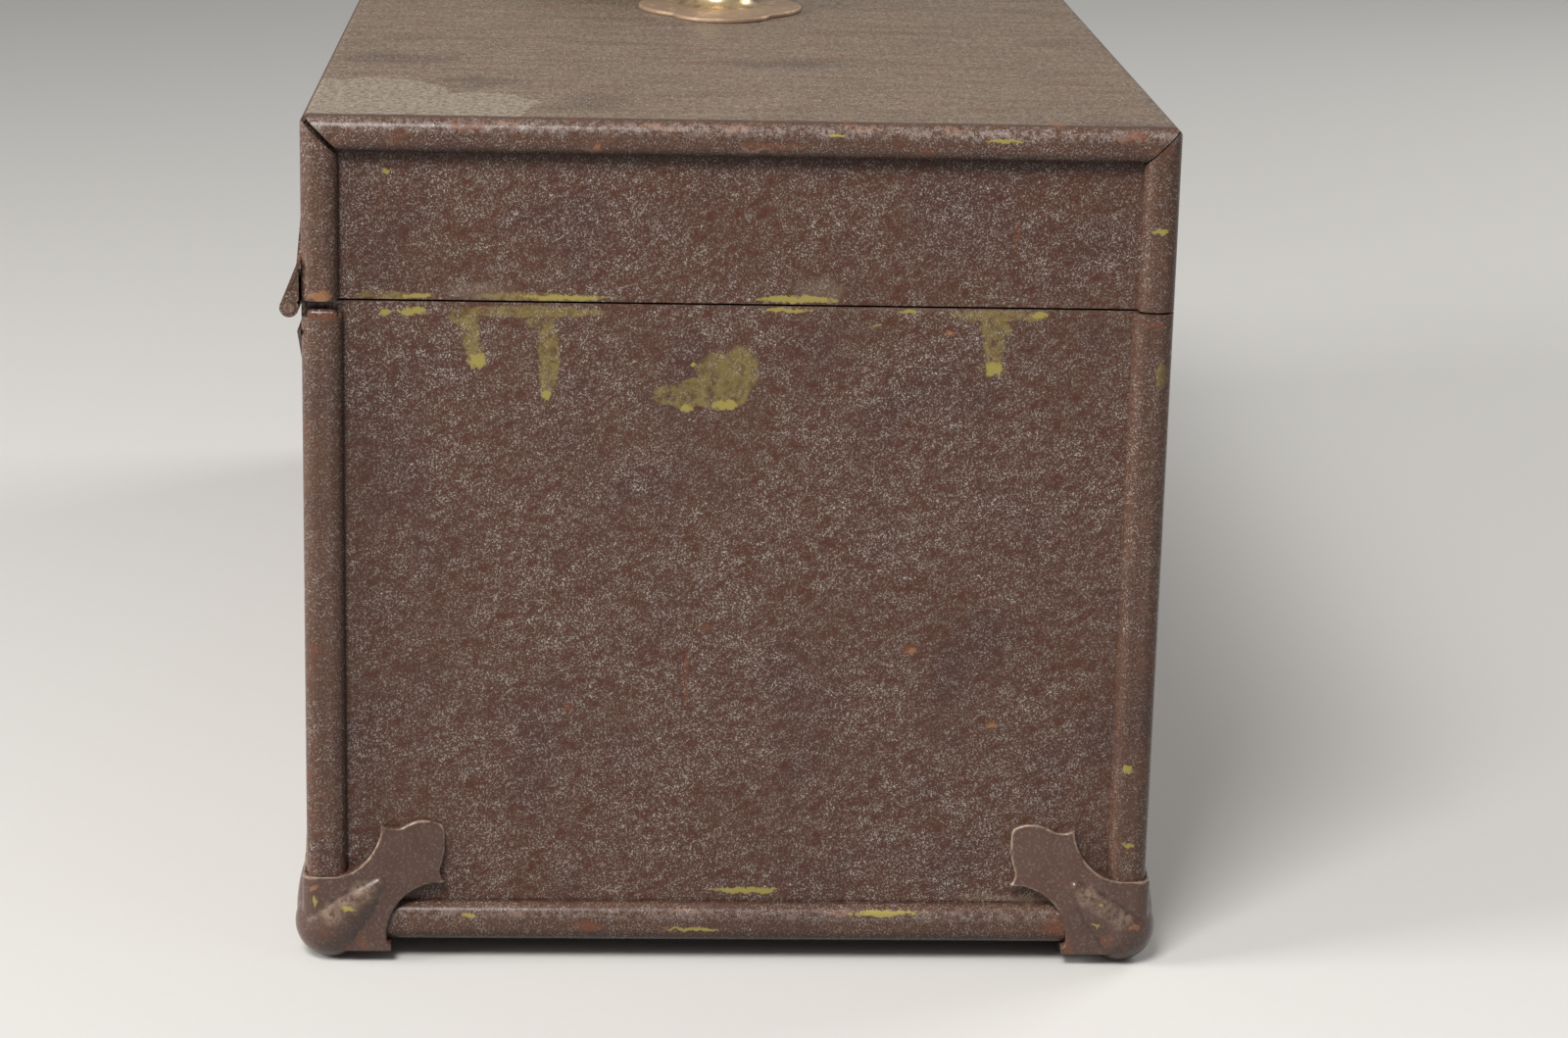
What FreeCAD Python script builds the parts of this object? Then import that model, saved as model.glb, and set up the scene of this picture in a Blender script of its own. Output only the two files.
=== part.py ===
import FreeCAD, Part
import math
import os

V = FreeCAD.Vector

# Sizes in millimetres: x runs along the box, y from the lock side to the hinge side, z up from the floor

# Folded tinplate box and lid
length = 380.0  # over the crests of the end beads
width = 150.0  # over the front and back walls
floor_gap = 3.8  # underside of the box above the floor
body_depth = 116.0  # underside of the box to the seam
seam_gap = 0.4  # between the body and the closed lid
lid_depth = 31.8  # seam to the top of the lid
sheet = 0.7  # tinplate of walls, floor, lid and end panels
corner_radius = 1.8  # outside of the folded long edges
seat_gap = 0.05  # between pieces that are pressed, riveted or soldered together
overcut = 1.0  # how far the shapes that cut holes run past the metal

# Half-round beads that the wall sheet is rolled into, over the end panels
body_bead_width = 7.0
lid_bead_width = 6.3
bead_height = 3.0  # crest above the end panel
bead_outer_roll = 2.6  # radius at the outer edge of the crest
bead_inner_roll = 2.3  # radius at the inner edge of the crest
mitre_gap = 0.25  # slit where two beads meet at a corner
lid_back_mitre_gap = 0.9  # the slit that has sprung open at the lid's hinge side
hinge_side_drop = 2.5  # the body's back beads stop this far below the seam

# Safety hems along the rims and flanges round the end panels
hem_depth = 5.0
hem_bend = 0.5  # middle-line radius at each half of the fold
flange_depth = 6.0

# Long hinge on the outside of the back
hinge_sheet = 0.6
hinge_pin = 2.0  # diameter
hinge_running_gap = 0.05  # pin to knuckle
hinge_wall_gap = 0.3  # knuckle to wall, room for the lid leaf when the lid hangs open
hinge_drop = 0.9  # pin axis below the top of the body
hinge_inset = 0.5  # end of the hinge from the crest of the bead
knuckle_count = 15  # odd, so that the lid has the knuckle at both ends
knuckle_gap = 0.3
body_notch = 4.0  # depth of the notches in the body leaf, below the axis
lid_notch = 3.2  # depth of the notches in the lid leaf, above the axis
lid_leaf_slant = 7.6  # height over which the lid leaf leans out to its knuckles
body_leaf_height = 13.0  # flat part below the notches
lid_leaf_height = 12.0  # flat part above the slant
leaf_clip = 18.0  # run of the cut across the end corners of the leaves
leaf_cheek = 1.0  # closes the lid leaf behind its slant at both ends
hinge_rivet_count = 6
rivet_shank = 2.4  # diameter
rivet_head = 4.2  # diameter
rivet_head_height = 0.5

# Drop handle on the lid
post_spacing = 88.0  # between the centres of the two posts
plate_sheet = 1.0
plate_end_lobe = 22.6  # reach of the end lobes from the post
plate_side_lobe = 16.7  # reach of the side lobes from the post
plate_notch_x = 14.0  # corner between two lobes, from the post
plate_notch_y = 9.8
post_foot = 17.2  # diameter where the post flares on to the plate
post_neck = 11.5  # diameter at the pivot
post_flare = 3.2  # height of the flare
post_height = 11.0  # above the plate
post_dome = 2.4  # height of the rounded top
post_tenon = 5.0  # diameter of the tail through plate and lid
washer_diameter = 16.0
washer_sheet = 1.0
tenon_head = 8.0  # diameter of the riveted-over tail
tenon_head_height = 1.4
pivot_height = 6.4  # bail axis above the lid
bail_bar = 8.4  # diameter of the bail's bar
bail_ball = 9.2  # diameter of its rounded ends
bail_shoulder = 6.4  # diameter of the shoulder beside the post
bail_pivot = 4.0  # diameter of the pins in the posts
bail_pivot_depth = 4.0  # length of each pin inside its post
bail_running_gap = 0.05  # pin to post
bail_side_gap = 0.3  # shoulder to post
bail_depth = 38.0  # pivot axis to the middle of the grip
bail_end_inset = 11.5  # post centre to the middle of the bail's arm
bail_corner = 26.0  # middle-line radius where arm turns into grip
bail_rest_gap = 0.3  # grip to lid when the handle lies down

# Lock inside the front wall, with its keyhole, and the staple that hangs from the lid
lock_drop = 1.5  # lock plate below the hem
lock_plate_sheet = 1.0
lock_plate_height = 29.0
lock_case_width = 40.0
lock_ear = 7.0  # lock plate and ears of the case, beyond the case at each side
lock_case_height = 26.0
lock_case_sheet = 0.8
lock_case_room = 8.6  # inside depth, lock plate to the back of the case
ear_rivet_rise = 6.5  # rivets from the lower and upper edge of the lock case
staple_sheet = 1.5
staple_x = -9.0  # middle of the staple's tongue
staple_wall_room = 3.8  # front wall to the edge of the tongue
staple_tongue = 5.6  # depth of the tongue, away from the front wall
staple_flange = 18.0  # length of its flange on the lid's front wall
staple_flange_height = 12.0
staple_land = 2.0  # metal left below the bolt hole
staple_gap = 0.5  # room round the tongue in the lock
bolt_thickness = 3.0
bolt_height = 7.0
bolt_drop = 5.0  # bolt below the top of the lock case
bolt_length = 25.0
bolt_throw = 6.0  # travel through the staple
bolt_clearance = 0.75  # tip of the drawn bolt to the staple
bolt_hole_gap = 0.3
talon_radius = 2.5  # notch that the key turns in
stump_pin = 2.6  # diameter of the stumps that carry the bolt
stump_head = 4.6  # diameter of their shoulders and heads
stump_head_height = 0.8
stump_setback = 4.5  # tip of the drawn bolt to the first stump
stump_spacing = 11.0
stump_running_gap = 0.1
spring_sheet = 0.5
spring_seat = 10.5  # length under the top of the lock case
spring_slope = 7.6  # run from there down to the bolt
spring_toe = 5.7  # run of the upturned end
spring_bend = 3.0  # middle-line radius
key_pin_diameter = 2.4
key_pin_drop = 19.0  # key pin below the top of the lock case
keyhole_diameter = 6.4
keyhole_slot_width = 3.0
keyhole_slot_reach = 9.0  # key pin centre to the end of the slot

# Cast corner feet
wing_sheet = 0.8  # thickness over the bead crests and the walls
wing_corner_round = 2.5  # upright corner edge
toe_ball = 13.2  # diameter of the ball toe
toe_inset = 4.3  # ball centre in from the walls
toe_flat = 0.15  # worn flat that the toe stands on
rib_tip_run = 13.0  # tip of the teardrop rib in from the corner
rib_tip_rise = 15.2  # tip of the rib above the floor
rib_tip_radius = 0.9
rib_tip_relief = 0.1  # the tip stands this far out of the wing
rib_root_radius = 6.3
rib_swell = 0.9  # fuller than a cone halfway along the rib
rib_lean = 35.0  # degrees from the rib's flank to its axis at the tip
pad_sheet = 1.6  # under the box
pad_reach = 15.0
wing_reach = 24.8  # reach of the wings along the box
wing_band = 16.2  # height of the band round the corner
wing_bow = 9.4  # radius of the hollow from the band up to the cusp
wing_crease = 2.0  # crease across the end wing, short of the rib's point
wing_fall = 0.19  # slope from the crease down towards the end panel
wing_cusp_run = 13.2  # upper cusp in from the corner
wing_dip_run = 4.0  # dip beside the cusp
wing_dip_drop = 1.2
wing_crown_rise = 1.0  # rounded shoulder above the dip
wing_side_height = 8.0  # rounded side of the shoulder
wing_side_bulge = 1.2
wing_tail_rise = 14.5  # lower cusp above the floor
wing_waist_run = 14.3  # narrowest place, in from the corner
wing_waist_rise = 5.9  # and above the floor
wing_hollow = 3.1  # depth of the hollow between lower cusp and waist

# Places worked out from the sizes above
body_bottom = floor_gap
body_top = body_bottom + body_depth
lid_bottom = body_top + seam_gap
lid_top = lid_bottom + lid_depth
wall_inside = width / 2 - sheet
panel_face = length / 2 - bead_height
panel_inside = panel_face - sheet
hem_width = 2 * hem_bend + sheet
knuckle_radius = hinge_pin / 2 + hinge_running_gap + hinge_sheet
hinge_y = width / 2 + hinge_wall_gap + knuckle_radius
hinge_z = body_top - hinge_drop
hinge_half = length / 2 - hinge_inset
post_x = post_spacing / 2
pivot_z = lid_top + pivot_height

os.makedirs("parts", exist_ok=True)


def in_yz(x):
    """Places a flat drawing in the plane across the box at x."""
    return lambda p: V(x, p.x, p.y)


def in_xz(y):
    """Places a flat drawing in the plane along the box at y."""
    return lambda p: V(p.x, y, p.y)


def in_xy(z):
    """Places a flat drawing level at height z."""
    return lambda p: V(p.x, p.y, z)


def side_edges(points, radii, shift, place):
    """Edges of an open line through points with a rounded bend at each corner, moved to its left by shift."""
    points = [V(u, v, 0) for u, v in points]
    ahead = [(b - a).normalize() for a, b in zip(points, points[1:])]
    left = [V(-d.y, d.x, 0) for d in ahead]
    here = points[0] + left[0] * shift
    edges = []
    for i, radius in enumerate(radii):
        corner = points[i + 1]
        side = math.copysign(1, left[i].dot(ahead[i + 1]))
        setback = radius * math.tan(ahead[i].getAngle(ahead[i + 1]) / 2)
        centre = corner - ahead[i] * setback + left[i] * radius * side
        reach = radius - shift * side
        start = centre - left[i] * reach * side
        middle = centre + (corner - centre).normalize() * reach
        end = centre - left[i + 1] * reach * side
        if (start - here).Length > 1e-6:
            edges.append(Part.makeLine(place(here), place(start)))
        edges.append(Part.Arc(place(start), place(middle), place(end)).toShape())
        here = end
    last = points[-1] + left[-1] * shift
    if (last - here).Length > 1e-6:
        edges.append(Part.makeLine(place(here), place(last)))
    return edges


def round_edge(start, end, centre):
    """Arc from start to end about centre, the short way."""
    towards = (start - centre) + (end - centre)
    middle = centre + towards.normalize() * (start - centre).Length
    return Part.Arc(start, middle, end).toShape()


def bowed_edge(start, end, bulge):
    """Arc from start to end whose middle stands off the straight line by the vector bulge."""
    return Part.Arc(start, (start + end) * 0.5 + bulge, end).toShape()


def closed_face(edges):
    """Face inside edges that form one loop in any order."""
    return Part.Face(Part.Wire(Part.__sortEdges__(edges)))


def strip_face(points, radii, thickness, place):
    """Section of a bent sheet whose middle line runs through points."""
    left = side_edges(points, radii, thickness / 2, place)
    right = side_edges(points, radii, -thickness / 2, place)
    first = Part.makeLine(left[0].Vertexes[0].Point, right[0].Vertexes[0].Point)
    last = Part.makeLine(left[-1].Vertexes[-1].Point, right[-1].Vertexes[-1].Point)
    return closed_face(left + right + [first, last])


def outline_face(points, radii, place):
    """Face with rounded corners between its first and its last point, which a straight edge joins."""
    edges = side_edges(points, radii, 0, place)
    closing = Part.makeLine(edges[-1].Vertexes[-1].Point, edges[0].Vertexes[0].Point)
    return closed_face(edges + [closing])


def polygon(points, place):
    """Face with straight edges."""
    corners = [place(V(u, v, 0)) for u, v in points]
    return Part.Face(Part.makePolygon(corners + corners[:1]))


def block(x0, x1, y0, y1, z0, z1):
    """Box between two corners."""
    return Part.makeBox(x1 - x0, y1 - y0, z1 - z0, V(x0, y0, z0))


def rod(start, end, diameter):
    """Round bar from start to end."""
    return Part.makeCylinder(diameter / 2, (end - start).Length, start, end - start)


def turned(profile, place, centre, axis):
    """Solid turned from a closed profile with straight edges."""
    return polygon(profile, place).revolve(centre, axis, 360)


def mirrored_in_x(shape):
    """The same piece at the other end of the box."""
    return shape.mirror(V(0, 0, 0), V(1, 0, 0))


def mirrored_in_y(shape):
    """The same piece on the other side of the box."""
    return shape.mirror(V(0, 0, 0), V(0, 1, 0))


def save(name, *solids):
    """Writes one piece, or a group of like pieces, under its name."""
    shape = solids[0] if len(solids) == 1 else Part.makeCompound(list(solids))
    shape.exportStep("parts/" + name + ".step")


def trough(inset, top, x0, x1):
    """Solid block with the box's outline across, inset on three sides, with its floor at the bottom."""
    half = width / 2 - inset
    radius = max(corner_radius - inset, seat_gap)
    corners = [(-half, top), (-half, inset), (half, inset), (half, top)]
    return outline_face(corners, [radius, radius], in_yz(x0)).extrude(V(x1 - x0, 0, 0))


def bead_section(bead_width, place):
    """Section of the rolled edge: u runs in from the wall, v out from the end panel."""
    crest = bead_height - sheet / 2
    points = [
        (sheet / 2, bead_height - bead_outer_roll),
        (sheet / 2, crest),
        (bead_width - sheet / 2, crest),
        (bead_width - sheet / 2, seat_gap),
    ]
    rolls = [bead_outer_roll - sheet / 2, min(bead_inner_roll, bead_height - seat_gap) - sheet / 2]
    return strip_face(points, rolls, sheet, place)


def bead_frame(depth, bead_width, drops, gaps):
    """The rolled edges at the left end, mitred at the corners; drops and gaps are for the -y and +y side."""
    half = width / 2
    slit = [gap / math.sqrt(2) for gap in gaps]
    runs = []
    for side, drop, cut in zip((-1, 1), drops, slit):
        top = depth - drop
        section = bead_section(bead_width, lambda p: V(-panel_face - p.y, side * (half - p.x), 0))
        corners = [(half, cut), (half - bead_width, bead_width + cut), (half - bead_width, top), (half, top)]
        keep = polygon([(side * y, z) for y, z in corners], in_yz(-length))
        runs.append(section.extrude(V(0, 0, depth)).common(keep.extrude(V(length, 0, 0))))
    section = bead_section(bead_width, lambda p: V(-panel_face - p.y, -half, p.x))
    corners = [
        (-half + slit[0], 0),
        (half - slit[1], 0),
        (half - slit[1] - bead_width, bead_width),
        (-half + slit[0] + bead_width, bead_width),
    ]
    keep = polygon(corners, in_yz(-length))
    runs.append(section.extrude(V(0, width, 0)).common(keep.extrude(V(length, 0, 0))))
    rounded = trough(0, depth, -length, 0)
    return [run.common(rounded) for run in runs]


def wrapper(depth, bead_width, drops, gaps):
    """Floor and two long walls folded from one sheet, with hemmed rims and rolled ends, open upwards."""
    wall = (width - sheet) / 2
    fold = corner_radius - sheet / 2
    plain = [(-wall, depth), (-wall, sheet / 2), (wall, sheet / 2), (wall, depth)]
    rim = depth - sheet / 2
    inner = wall - 2 * hem_bend
    hem_end = depth - hem_depth
    hemmed = [(-inner, hem_end), (-inner, rim), (-wall, rim), (-wall, sheet / 2)]
    hemmed += [(-y, z) for y, z in reversed(hemmed)]
    bends = [hem_bend, hem_bend, fold, fold, hem_bend, hem_bend]
    wall_half = length / 2 - bead_outer_roll
    hem_half = panel_inside - seat_gap
    walls = strip_face(plain, [fold, fold], sheet, in_yz(-wall_half)).extrude(V(2 * wall_half, 0, 0))
    rims = strip_face(hemmed, bends, sheet, in_yz(-hem_half)).extrude(V(2 * hem_half, 0, 0))
    left_beads = bead_frame(depth, bead_width, drops, gaps)
    right_beads = [mirrored_in_x(bead) for bead in left_beads]
    return walls.fuse([rims] + left_beads + right_beads).removeSplitter()


def end_panel(depth):
    """Left end: a flat panel with a flange against walls and floor and a hem along its rim."""
    inset = sheet + seat_gap
    outer = trough(inset, depth, -panel_face, -panel_face + flange_depth)
    hollow = trough(inset + sheet, depth + overcut, -panel_inside, 0)
    rim_half = width / 2 - hem_width - seat_gap
    rim_room = block(-panel_inside, 0, -width, width, depth - hem_depth - seat_gap, depth + overcut)
    middle = -panel_face + sheet / 2
    rim = depth - sheet / 2
    points = [
        (middle, depth - hem_depth),
        (middle, rim),
        (middle + 2 * hem_bend, rim),
        (middle + 2 * hem_bend, depth - hem_depth),
    ]
    hem = strip_face(points, [hem_bend, hem_bend], sheet, in_xz(-rim_half)).extrude(V(0, 2 * rim_half, 0))
    return outer.cut([hollow, rim_room]).fuse(hem).removeSplitter()


def rivet(outside, direction, grip):
    """Round-headed rivet through pieces that are grip thick together."""
    inside = outside + direction * grip
    cap = rivet_head / 2
    crown = cap - rivet_head_height
    shank = rod(outside, inside, rivet_shank)
    outer_head = Part.makeCone(cap, crown, rivet_head_height, outside, direction * -1)
    inner_head = Part.makeCone(cap, crown, rivet_head_height, inside, direction)
    return shank.fuse([outer_head, inner_head])


def rivet_hole(outside, direction, grip):
    """Hole for such a rivet."""
    start = outside - direction * overcut
    end = outside + direction * (grip + overcut)
    return rod(start, end, rivet_shank + 2 * seat_gap)


# Body and lid
body_wrapper = wrapper(body_depth, body_bead_width, (0, hinge_side_drop), (mitre_gap, mitre_gap))
body_end = end_panel(body_depth)
lid_wrapper = wrapper(lid_depth, lid_bead_width, (0, 0), (lid_back_mitre_gap, mitre_gap))
lid_end = end_panel(lid_depth)
for shape in (body_wrapper, body_end):
    shape.translate(V(0, 0, body_bottom))
for shape in (lid_wrapper, lid_end):
    shape.rotate(V(0, 0, 0), V(1, 0, 0), 180)
    shape.translate(V(0, 0, lid_top))


# Hinge
def knuckles(first):
    """Start and end of every second knuckle along the hinge."""
    pitch = 2 * hinge_half / knuckle_count
    for i in range(first, knuckle_count, 2):
        yield -hinge_half + i * pitch + knuckle_gap / 2, -hinge_half + (i + 1) * pitch - knuckle_gap / 2


def leaf(flat_part, tab_line, bend, first):
    """Hinge leaf: a long strip with a rolled knuckle at the end of each tab."""
    pieces = [flat_part]
    for x0, x1 in knuckles(first):
        tab = strip_face(tab_line, [bend], hinge_sheet, in_yz(x0)).extrude(V(x1 - x0, 0, 0))
        roll = rod(V(x0, hinge_y, hinge_z), V(x1, hinge_y, hinge_z), 2 * knuckle_radius)
        pieces += [tab, roll]
    bore = rod(V(-length, hinge_y, hinge_z), V(length, hinge_y, hinge_z), hinge_pin + 2 * hinge_running_gap)
    return pieces[0].fuse(pieces[1:]).cut(bore).removeSplitter()


def clips(fold, edge):
    """Corners cut off a leaf at both ends, from its fold to its long edge."""
    beyond = edge + math.copysign(overcut, edge - fold)
    far = hinge_half + overcut
    near = hinge_half - leaf_clip
    points = [(hinge_half, fold), (near, edge), (near, beyond), (far, beyond), (far, fold)]
    clip = polygon(points, in_xz(width / 2 - overcut)).extrude(V(0, hinge_sheet + 2 * overcut, 0))
    return [clip, mirrored_in_x(clip)]


leaf_middle = width / 2 + hinge_sheet / 2
inner_tangent = hinge_y - knuckle_radius + hinge_sheet / 2
outer_tangent = hinge_y + knuckle_radius - hinge_sheet / 2
body_leaf_top = hinge_z - body_notch
body_leaf_bottom = body_leaf_top - body_leaf_height
slant_top = hinge_z + lid_leaf_slant
lid_leaf_top = slant_top + lid_leaf_height
leaf_bend = hinge_sheet

body_flat = block(
    -hinge_half, hinge_half, width / 2, width / 2 + hinge_sheet, body_leaf_bottom, body_leaf_top
)
body_tab = [(leaf_middle, body_leaf_bottom), (leaf_middle, body_leaf_top), (inner_tangent, hinge_z)]
hinge_leaf_body = leaf(body_flat, body_tab, leaf_bend, 1).cut(clips(body_leaf_top, body_leaf_bottom))

lean = (outer_tangent - leaf_middle) / lid_leaf_slant
lid_tab = [(leaf_middle, lid_leaf_top), (leaf_middle, slant_top), (outer_tangent, hinge_z)]
lid_stub = lid_tab[:2] + [(outer_tangent - lean * lid_notch, hinge_z + lid_notch)]
lid_flat = strip_face(lid_stub, [leaf_bend], hinge_sheet, in_yz(-hinge_half)).extrude(V(2 * hinge_half, 0, 0))
cheek_line = lid_tab[1:] + [(hinge_y, hinge_z), (leaf_middle, lid_bottom)]
cheek = polygon(cheek_line, in_yz(hinge_half - knuckle_gap / 2)).extrude(V(-leaf_cheek, 0, 0))
lid_flat = lid_flat.fuse([cheek, mirrored_in_x(cheek)])
hinge_leaf_lid = leaf(lid_flat, lid_tab, leaf_bend, 0).cut(clips(slant_top, lid_leaf_top))

hinge_pin_bar = rod(V(-hinge_half, hinge_y, hinge_z), V(hinge_half, hinge_y, hinge_z), hinge_pin)

rivet_pitch = 2 * hinge_half / hinge_rivet_count
rivet_xs = [-hinge_half + (i + 0.5) * rivet_pitch for i in range(hinge_rivet_count)]
hinge_grip = hinge_sheet + sheet
inwards = V(0, -1, 0)


def rivet_row(z):
    """Outer ends of a row of hinge rivets."""
    return [V(x, width / 2 + hinge_sheet, z) for x in rivet_xs]


body_rivet_row = rivet_row(body_leaf_bottom + body_leaf_height / 2)
lid_rivet_row = rivet_row(slant_top + lid_leaf_height / 2)
hinge_rivets_body = [rivet(point, inwards, hinge_grip) for point in body_rivet_row]
hinge_rivets_lid = [rivet(point, inwards, hinge_grip) for point in lid_rivet_row]
body_rivet_holes = [rivet_hole(point, inwards, hinge_grip) for point in body_rivet_row]
lid_rivet_holes = [rivet_hole(point, inwards, hinge_grip) for point in lid_rivet_row]
hinge_leaf_body = hinge_leaf_body.cut(body_rivet_holes)
hinge_leaf_lid = hinge_leaf_lid.cut(lid_rivet_holes)
body_wrapper = body_wrapper.cut(body_rivet_holes)
lid_wrapper = lid_wrapper.cut(lid_rivet_holes)


# Handle
def arc(*points):
    """Arc through three points on top of the lid."""
    return Part.Arc(*[V(x, y, lid_top) for x, y in points]).toShape()


def tenon_hole(x):
    """Hole for a post's tail, through plate and lid."""
    low = V(x, 0, lid_top - sheet - overcut)
    return rod(low, V(x, 0, lid_top + plate_sheet + overcut), post_tenon + 2 * seat_gap)


def handle_plate(x):
    """Four-lobed plate under a post."""
    lobes = []
    for side in (-1, 1):
        end_x = x + side * plate_notch_x
        side_y = side * plate_notch_y
        end_tip = (x + side * plate_end_lobe, 0)
        side_tip = (x, side * plate_side_lobe)
        lobes.append(arc((end_x, -plate_notch_y), end_tip, (end_x, plate_notch_y)))
        lobes.append(arc((x - plate_notch_x, side_y), side_tip, (x + plate_notch_x, side_y)))
    return closed_face(lobes).extrude(V(0, 0, plate_sheet)).cut(tenon_hole(x))


def handle_post(x, inner):
    """Flared post with a domed top, a tail riveted under the lid and a bore for the bail's pin."""
    base = lid_top + plate_sheet
    top = base + post_height
    under = lid_top - sheet - washer_sheet
    low = under - tenon_head_height
    foot = post_foot / 2
    neck = post_neck / 2
    tail = post_tenon / 2
    head = tenon_head / 2

    def at(radius, z):
        return V(x + radius, 0, z)

    flare_run = foot - neck
    flare_radius = (flare_run**2 + post_flare**2) / (2 * flare_run)
    dome_radius = (neck**2 + post_dome**2) / (2 * post_dome)
    corners = [
        at(0, top),
        at(0, low),
        at(head - tenon_head_height, low),
        at(head, under),
        at(tail, under),
        at(tail, base),
        at(foot, base),
    ]
    neck_low = at(neck, base + post_flare)
    neck_high = at(neck, top - post_dome)
    edges = [Part.makeLine(a, b) for a, b in zip(corners, corners[1:])]
    edges.append(round_edge(corners[-1], neck_low, at(neck + flare_radius, base + post_flare)))
    edges.append(Part.makeLine(neck_low, neck_high))
    edges.append(round_edge(neck_high, corners[0], at(0, top - dome_radius)))
    post = closed_face(edges).revolve(V(x, 0, 0), V(0, 0, 1), 360)
    mouth = at(inner * post_neck, pivot_z)
    end = at(inner * (neck - bail_pivot_depth - bail_side_gap), pivot_z)
    return post.cut(rod(end, mouth, bail_pivot + 2 * bail_running_gap))


def washer(x):
    """Washer under the lid, between the sheet and the riveted tail."""
    top = V(x, 0, lid_top - sheet)
    low = V(x, 0, lid_top - sheet - washer_sheet)
    return rod(low, top, washer_diameter).cut(rod(low, top, post_tenon + 2 * seat_gap))


def bail():
    """Bow of round bar between the posts, lying back towards the hinge."""
    arm = post_x - bail_end_inset
    bar = bail_bar / 2
    line = [(-arm, 0), (-arm, bail_depth), (arm, bail_depth), (arm, 0)]
    path = Part.Wire(Part.__sortEdges__(side_edges(line, [bail_corner, bail_corner], 0, in_xy(pivot_z))))
    section = Part.Wire([Part.makeCircle(bar, V(-arm, 0, pivot_z), V(0, 1, 0))])
    bow = path.makePipeShell([section], True, False)
    ends = []
    shoulder_x = post_x - post_neck / 2 - bail_side_gap
    pin_x = post_x - post_neck / 2 + bail_pivot_depth
    for side in (-1, 1):
        ends.append(Part.makeSphere(bail_ball / 2, V(side * arm, 0, pivot_z)))
        ends.append(rod(V(side * arm, 0, pivot_z), V(side * shoulder_x, 0, pivot_z), bail_shoulder))
        ends.append(rod(V(side * arm, 0, pivot_z), V(side * pin_x, 0, pivot_z), bail_pivot))
    bow = bow.fuse(ends).removeSplitter()
    drop = math.asin((pivot_height - bar - bail_rest_gap) / bail_depth)
    bow.rotate(V(0, 0, pivot_z), V(1, 0, 0), -math.degrees(drop))
    return bow


lid_wrapper = lid_wrapper.cut([tenon_hole(x) for x in (-post_x, post_x)])

# Lock
front_inside = -wall_inside
plate_face = front_inside + lock_plate_sheet
case_inside = plate_face + lock_case_room
case_outside = case_inside + lock_case_sheet
lock_plate_top = body_top - hem_depth - lock_drop
lock_plate_bottom = lock_plate_top - lock_plate_height
case_top = lock_plate_top - (lock_plate_height - lock_case_height) / 2
case_bottom = case_top - lock_case_height
case_half = lock_case_width / 2
key_z = case_top - key_pin_drop
bolt_top = case_top - bolt_drop
bolt_bottom = bolt_top - bolt_height
bolt_middle = (bolt_top + bolt_bottom) / 2
tongue_front = front_inside + staple_wall_room
tongue_back = tongue_front + staple_tongue
bolt_front = (tongue_front + tongue_back - bolt_thickness) / 2
bolt_back = bolt_front + bolt_thickness
bolt_tip = staple_x + staple_sheet / 2 + bolt_clearance
stump_xs = [bolt_tip + stump_setback, bolt_tip + stump_setback + stump_spacing]
stump_bottom = bolt_back + seat_gap
ear_half = case_half + lock_ear
ear_middle = case_half + lock_ear / 2
lock_rivet_xs = [-ear_middle, ear_middle]
lock_rivet_zs = [case_bottom + ear_rivet_rise, case_top - ear_rivet_rise]
lock_grip = sheet + lock_plate_sheet + lock_case_sheet
into_box = V(0, 1, 0)
lock_rivet_points = [V(x, -width / 2, z) for x in lock_rivet_xs for z in lock_rivet_zs]
lock_rivet_holes = [rivet_hole(point, into_box, lock_grip) for point in lock_rivet_points]
lock_rivets = [rivet(point, into_box, lock_grip) for point in lock_rivet_points]
keyhole = rod(V(0, -width, key_z), V(0, plate_face + overcut, key_z), keyhole_diameter).fuse(
    block(
        -keyhole_slot_width / 2,
        keyhole_slot_width / 2,
        -width,
        plate_face + overcut,
        key_z - keyhole_slot_reach,
        key_z,
    )
)

lock_plate = block(-ear_half, ear_half, front_inside, plate_face, lock_plate_bottom, lock_plate_top)
lock_plate = lock_plate.cut(lock_rivet_holes + [keyhole])

lock_case = block(-case_half, case_half, plate_face, case_outside, case_bottom, case_top)
ears = block(-ear_half, ear_half, plate_face, plate_face + lock_case_sheet, case_bottom, case_top)
room = block(
    -case_half + lock_case_sheet,
    case_half - lock_case_sheet,
    plate_face - overcut,
    case_inside,
    case_bottom + lock_case_sheet,
    case_top - lock_case_sheet,
)
staple_slot = block(
    staple_x - staple_sheet / 2 - staple_gap,
    staple_x + staple_sheet / 2 + staple_gap,
    plate_face + staple_gap,
    case_inside,
    case_top - 2 * lock_case_sheet,
    case_top + overcut,
)


def case_hole(x, z, diameter):
    """Hole in the back of the lock case for a piece that is riveted into it."""
    return rod(V(x, case_inside - overcut, z), V(x, case_outside + overcut, z), diameter + 2 * seat_gap)


stump_holes = [case_hole(x, bolt_middle, stump_pin) for x in stump_xs]
key_pin_hole = case_hole(0, key_z, key_pin_diameter)
lock_case = lock_case.fuse(ears).cut([room, staple_slot, key_pin_hole] + stump_holes + lock_rivet_holes)

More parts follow.
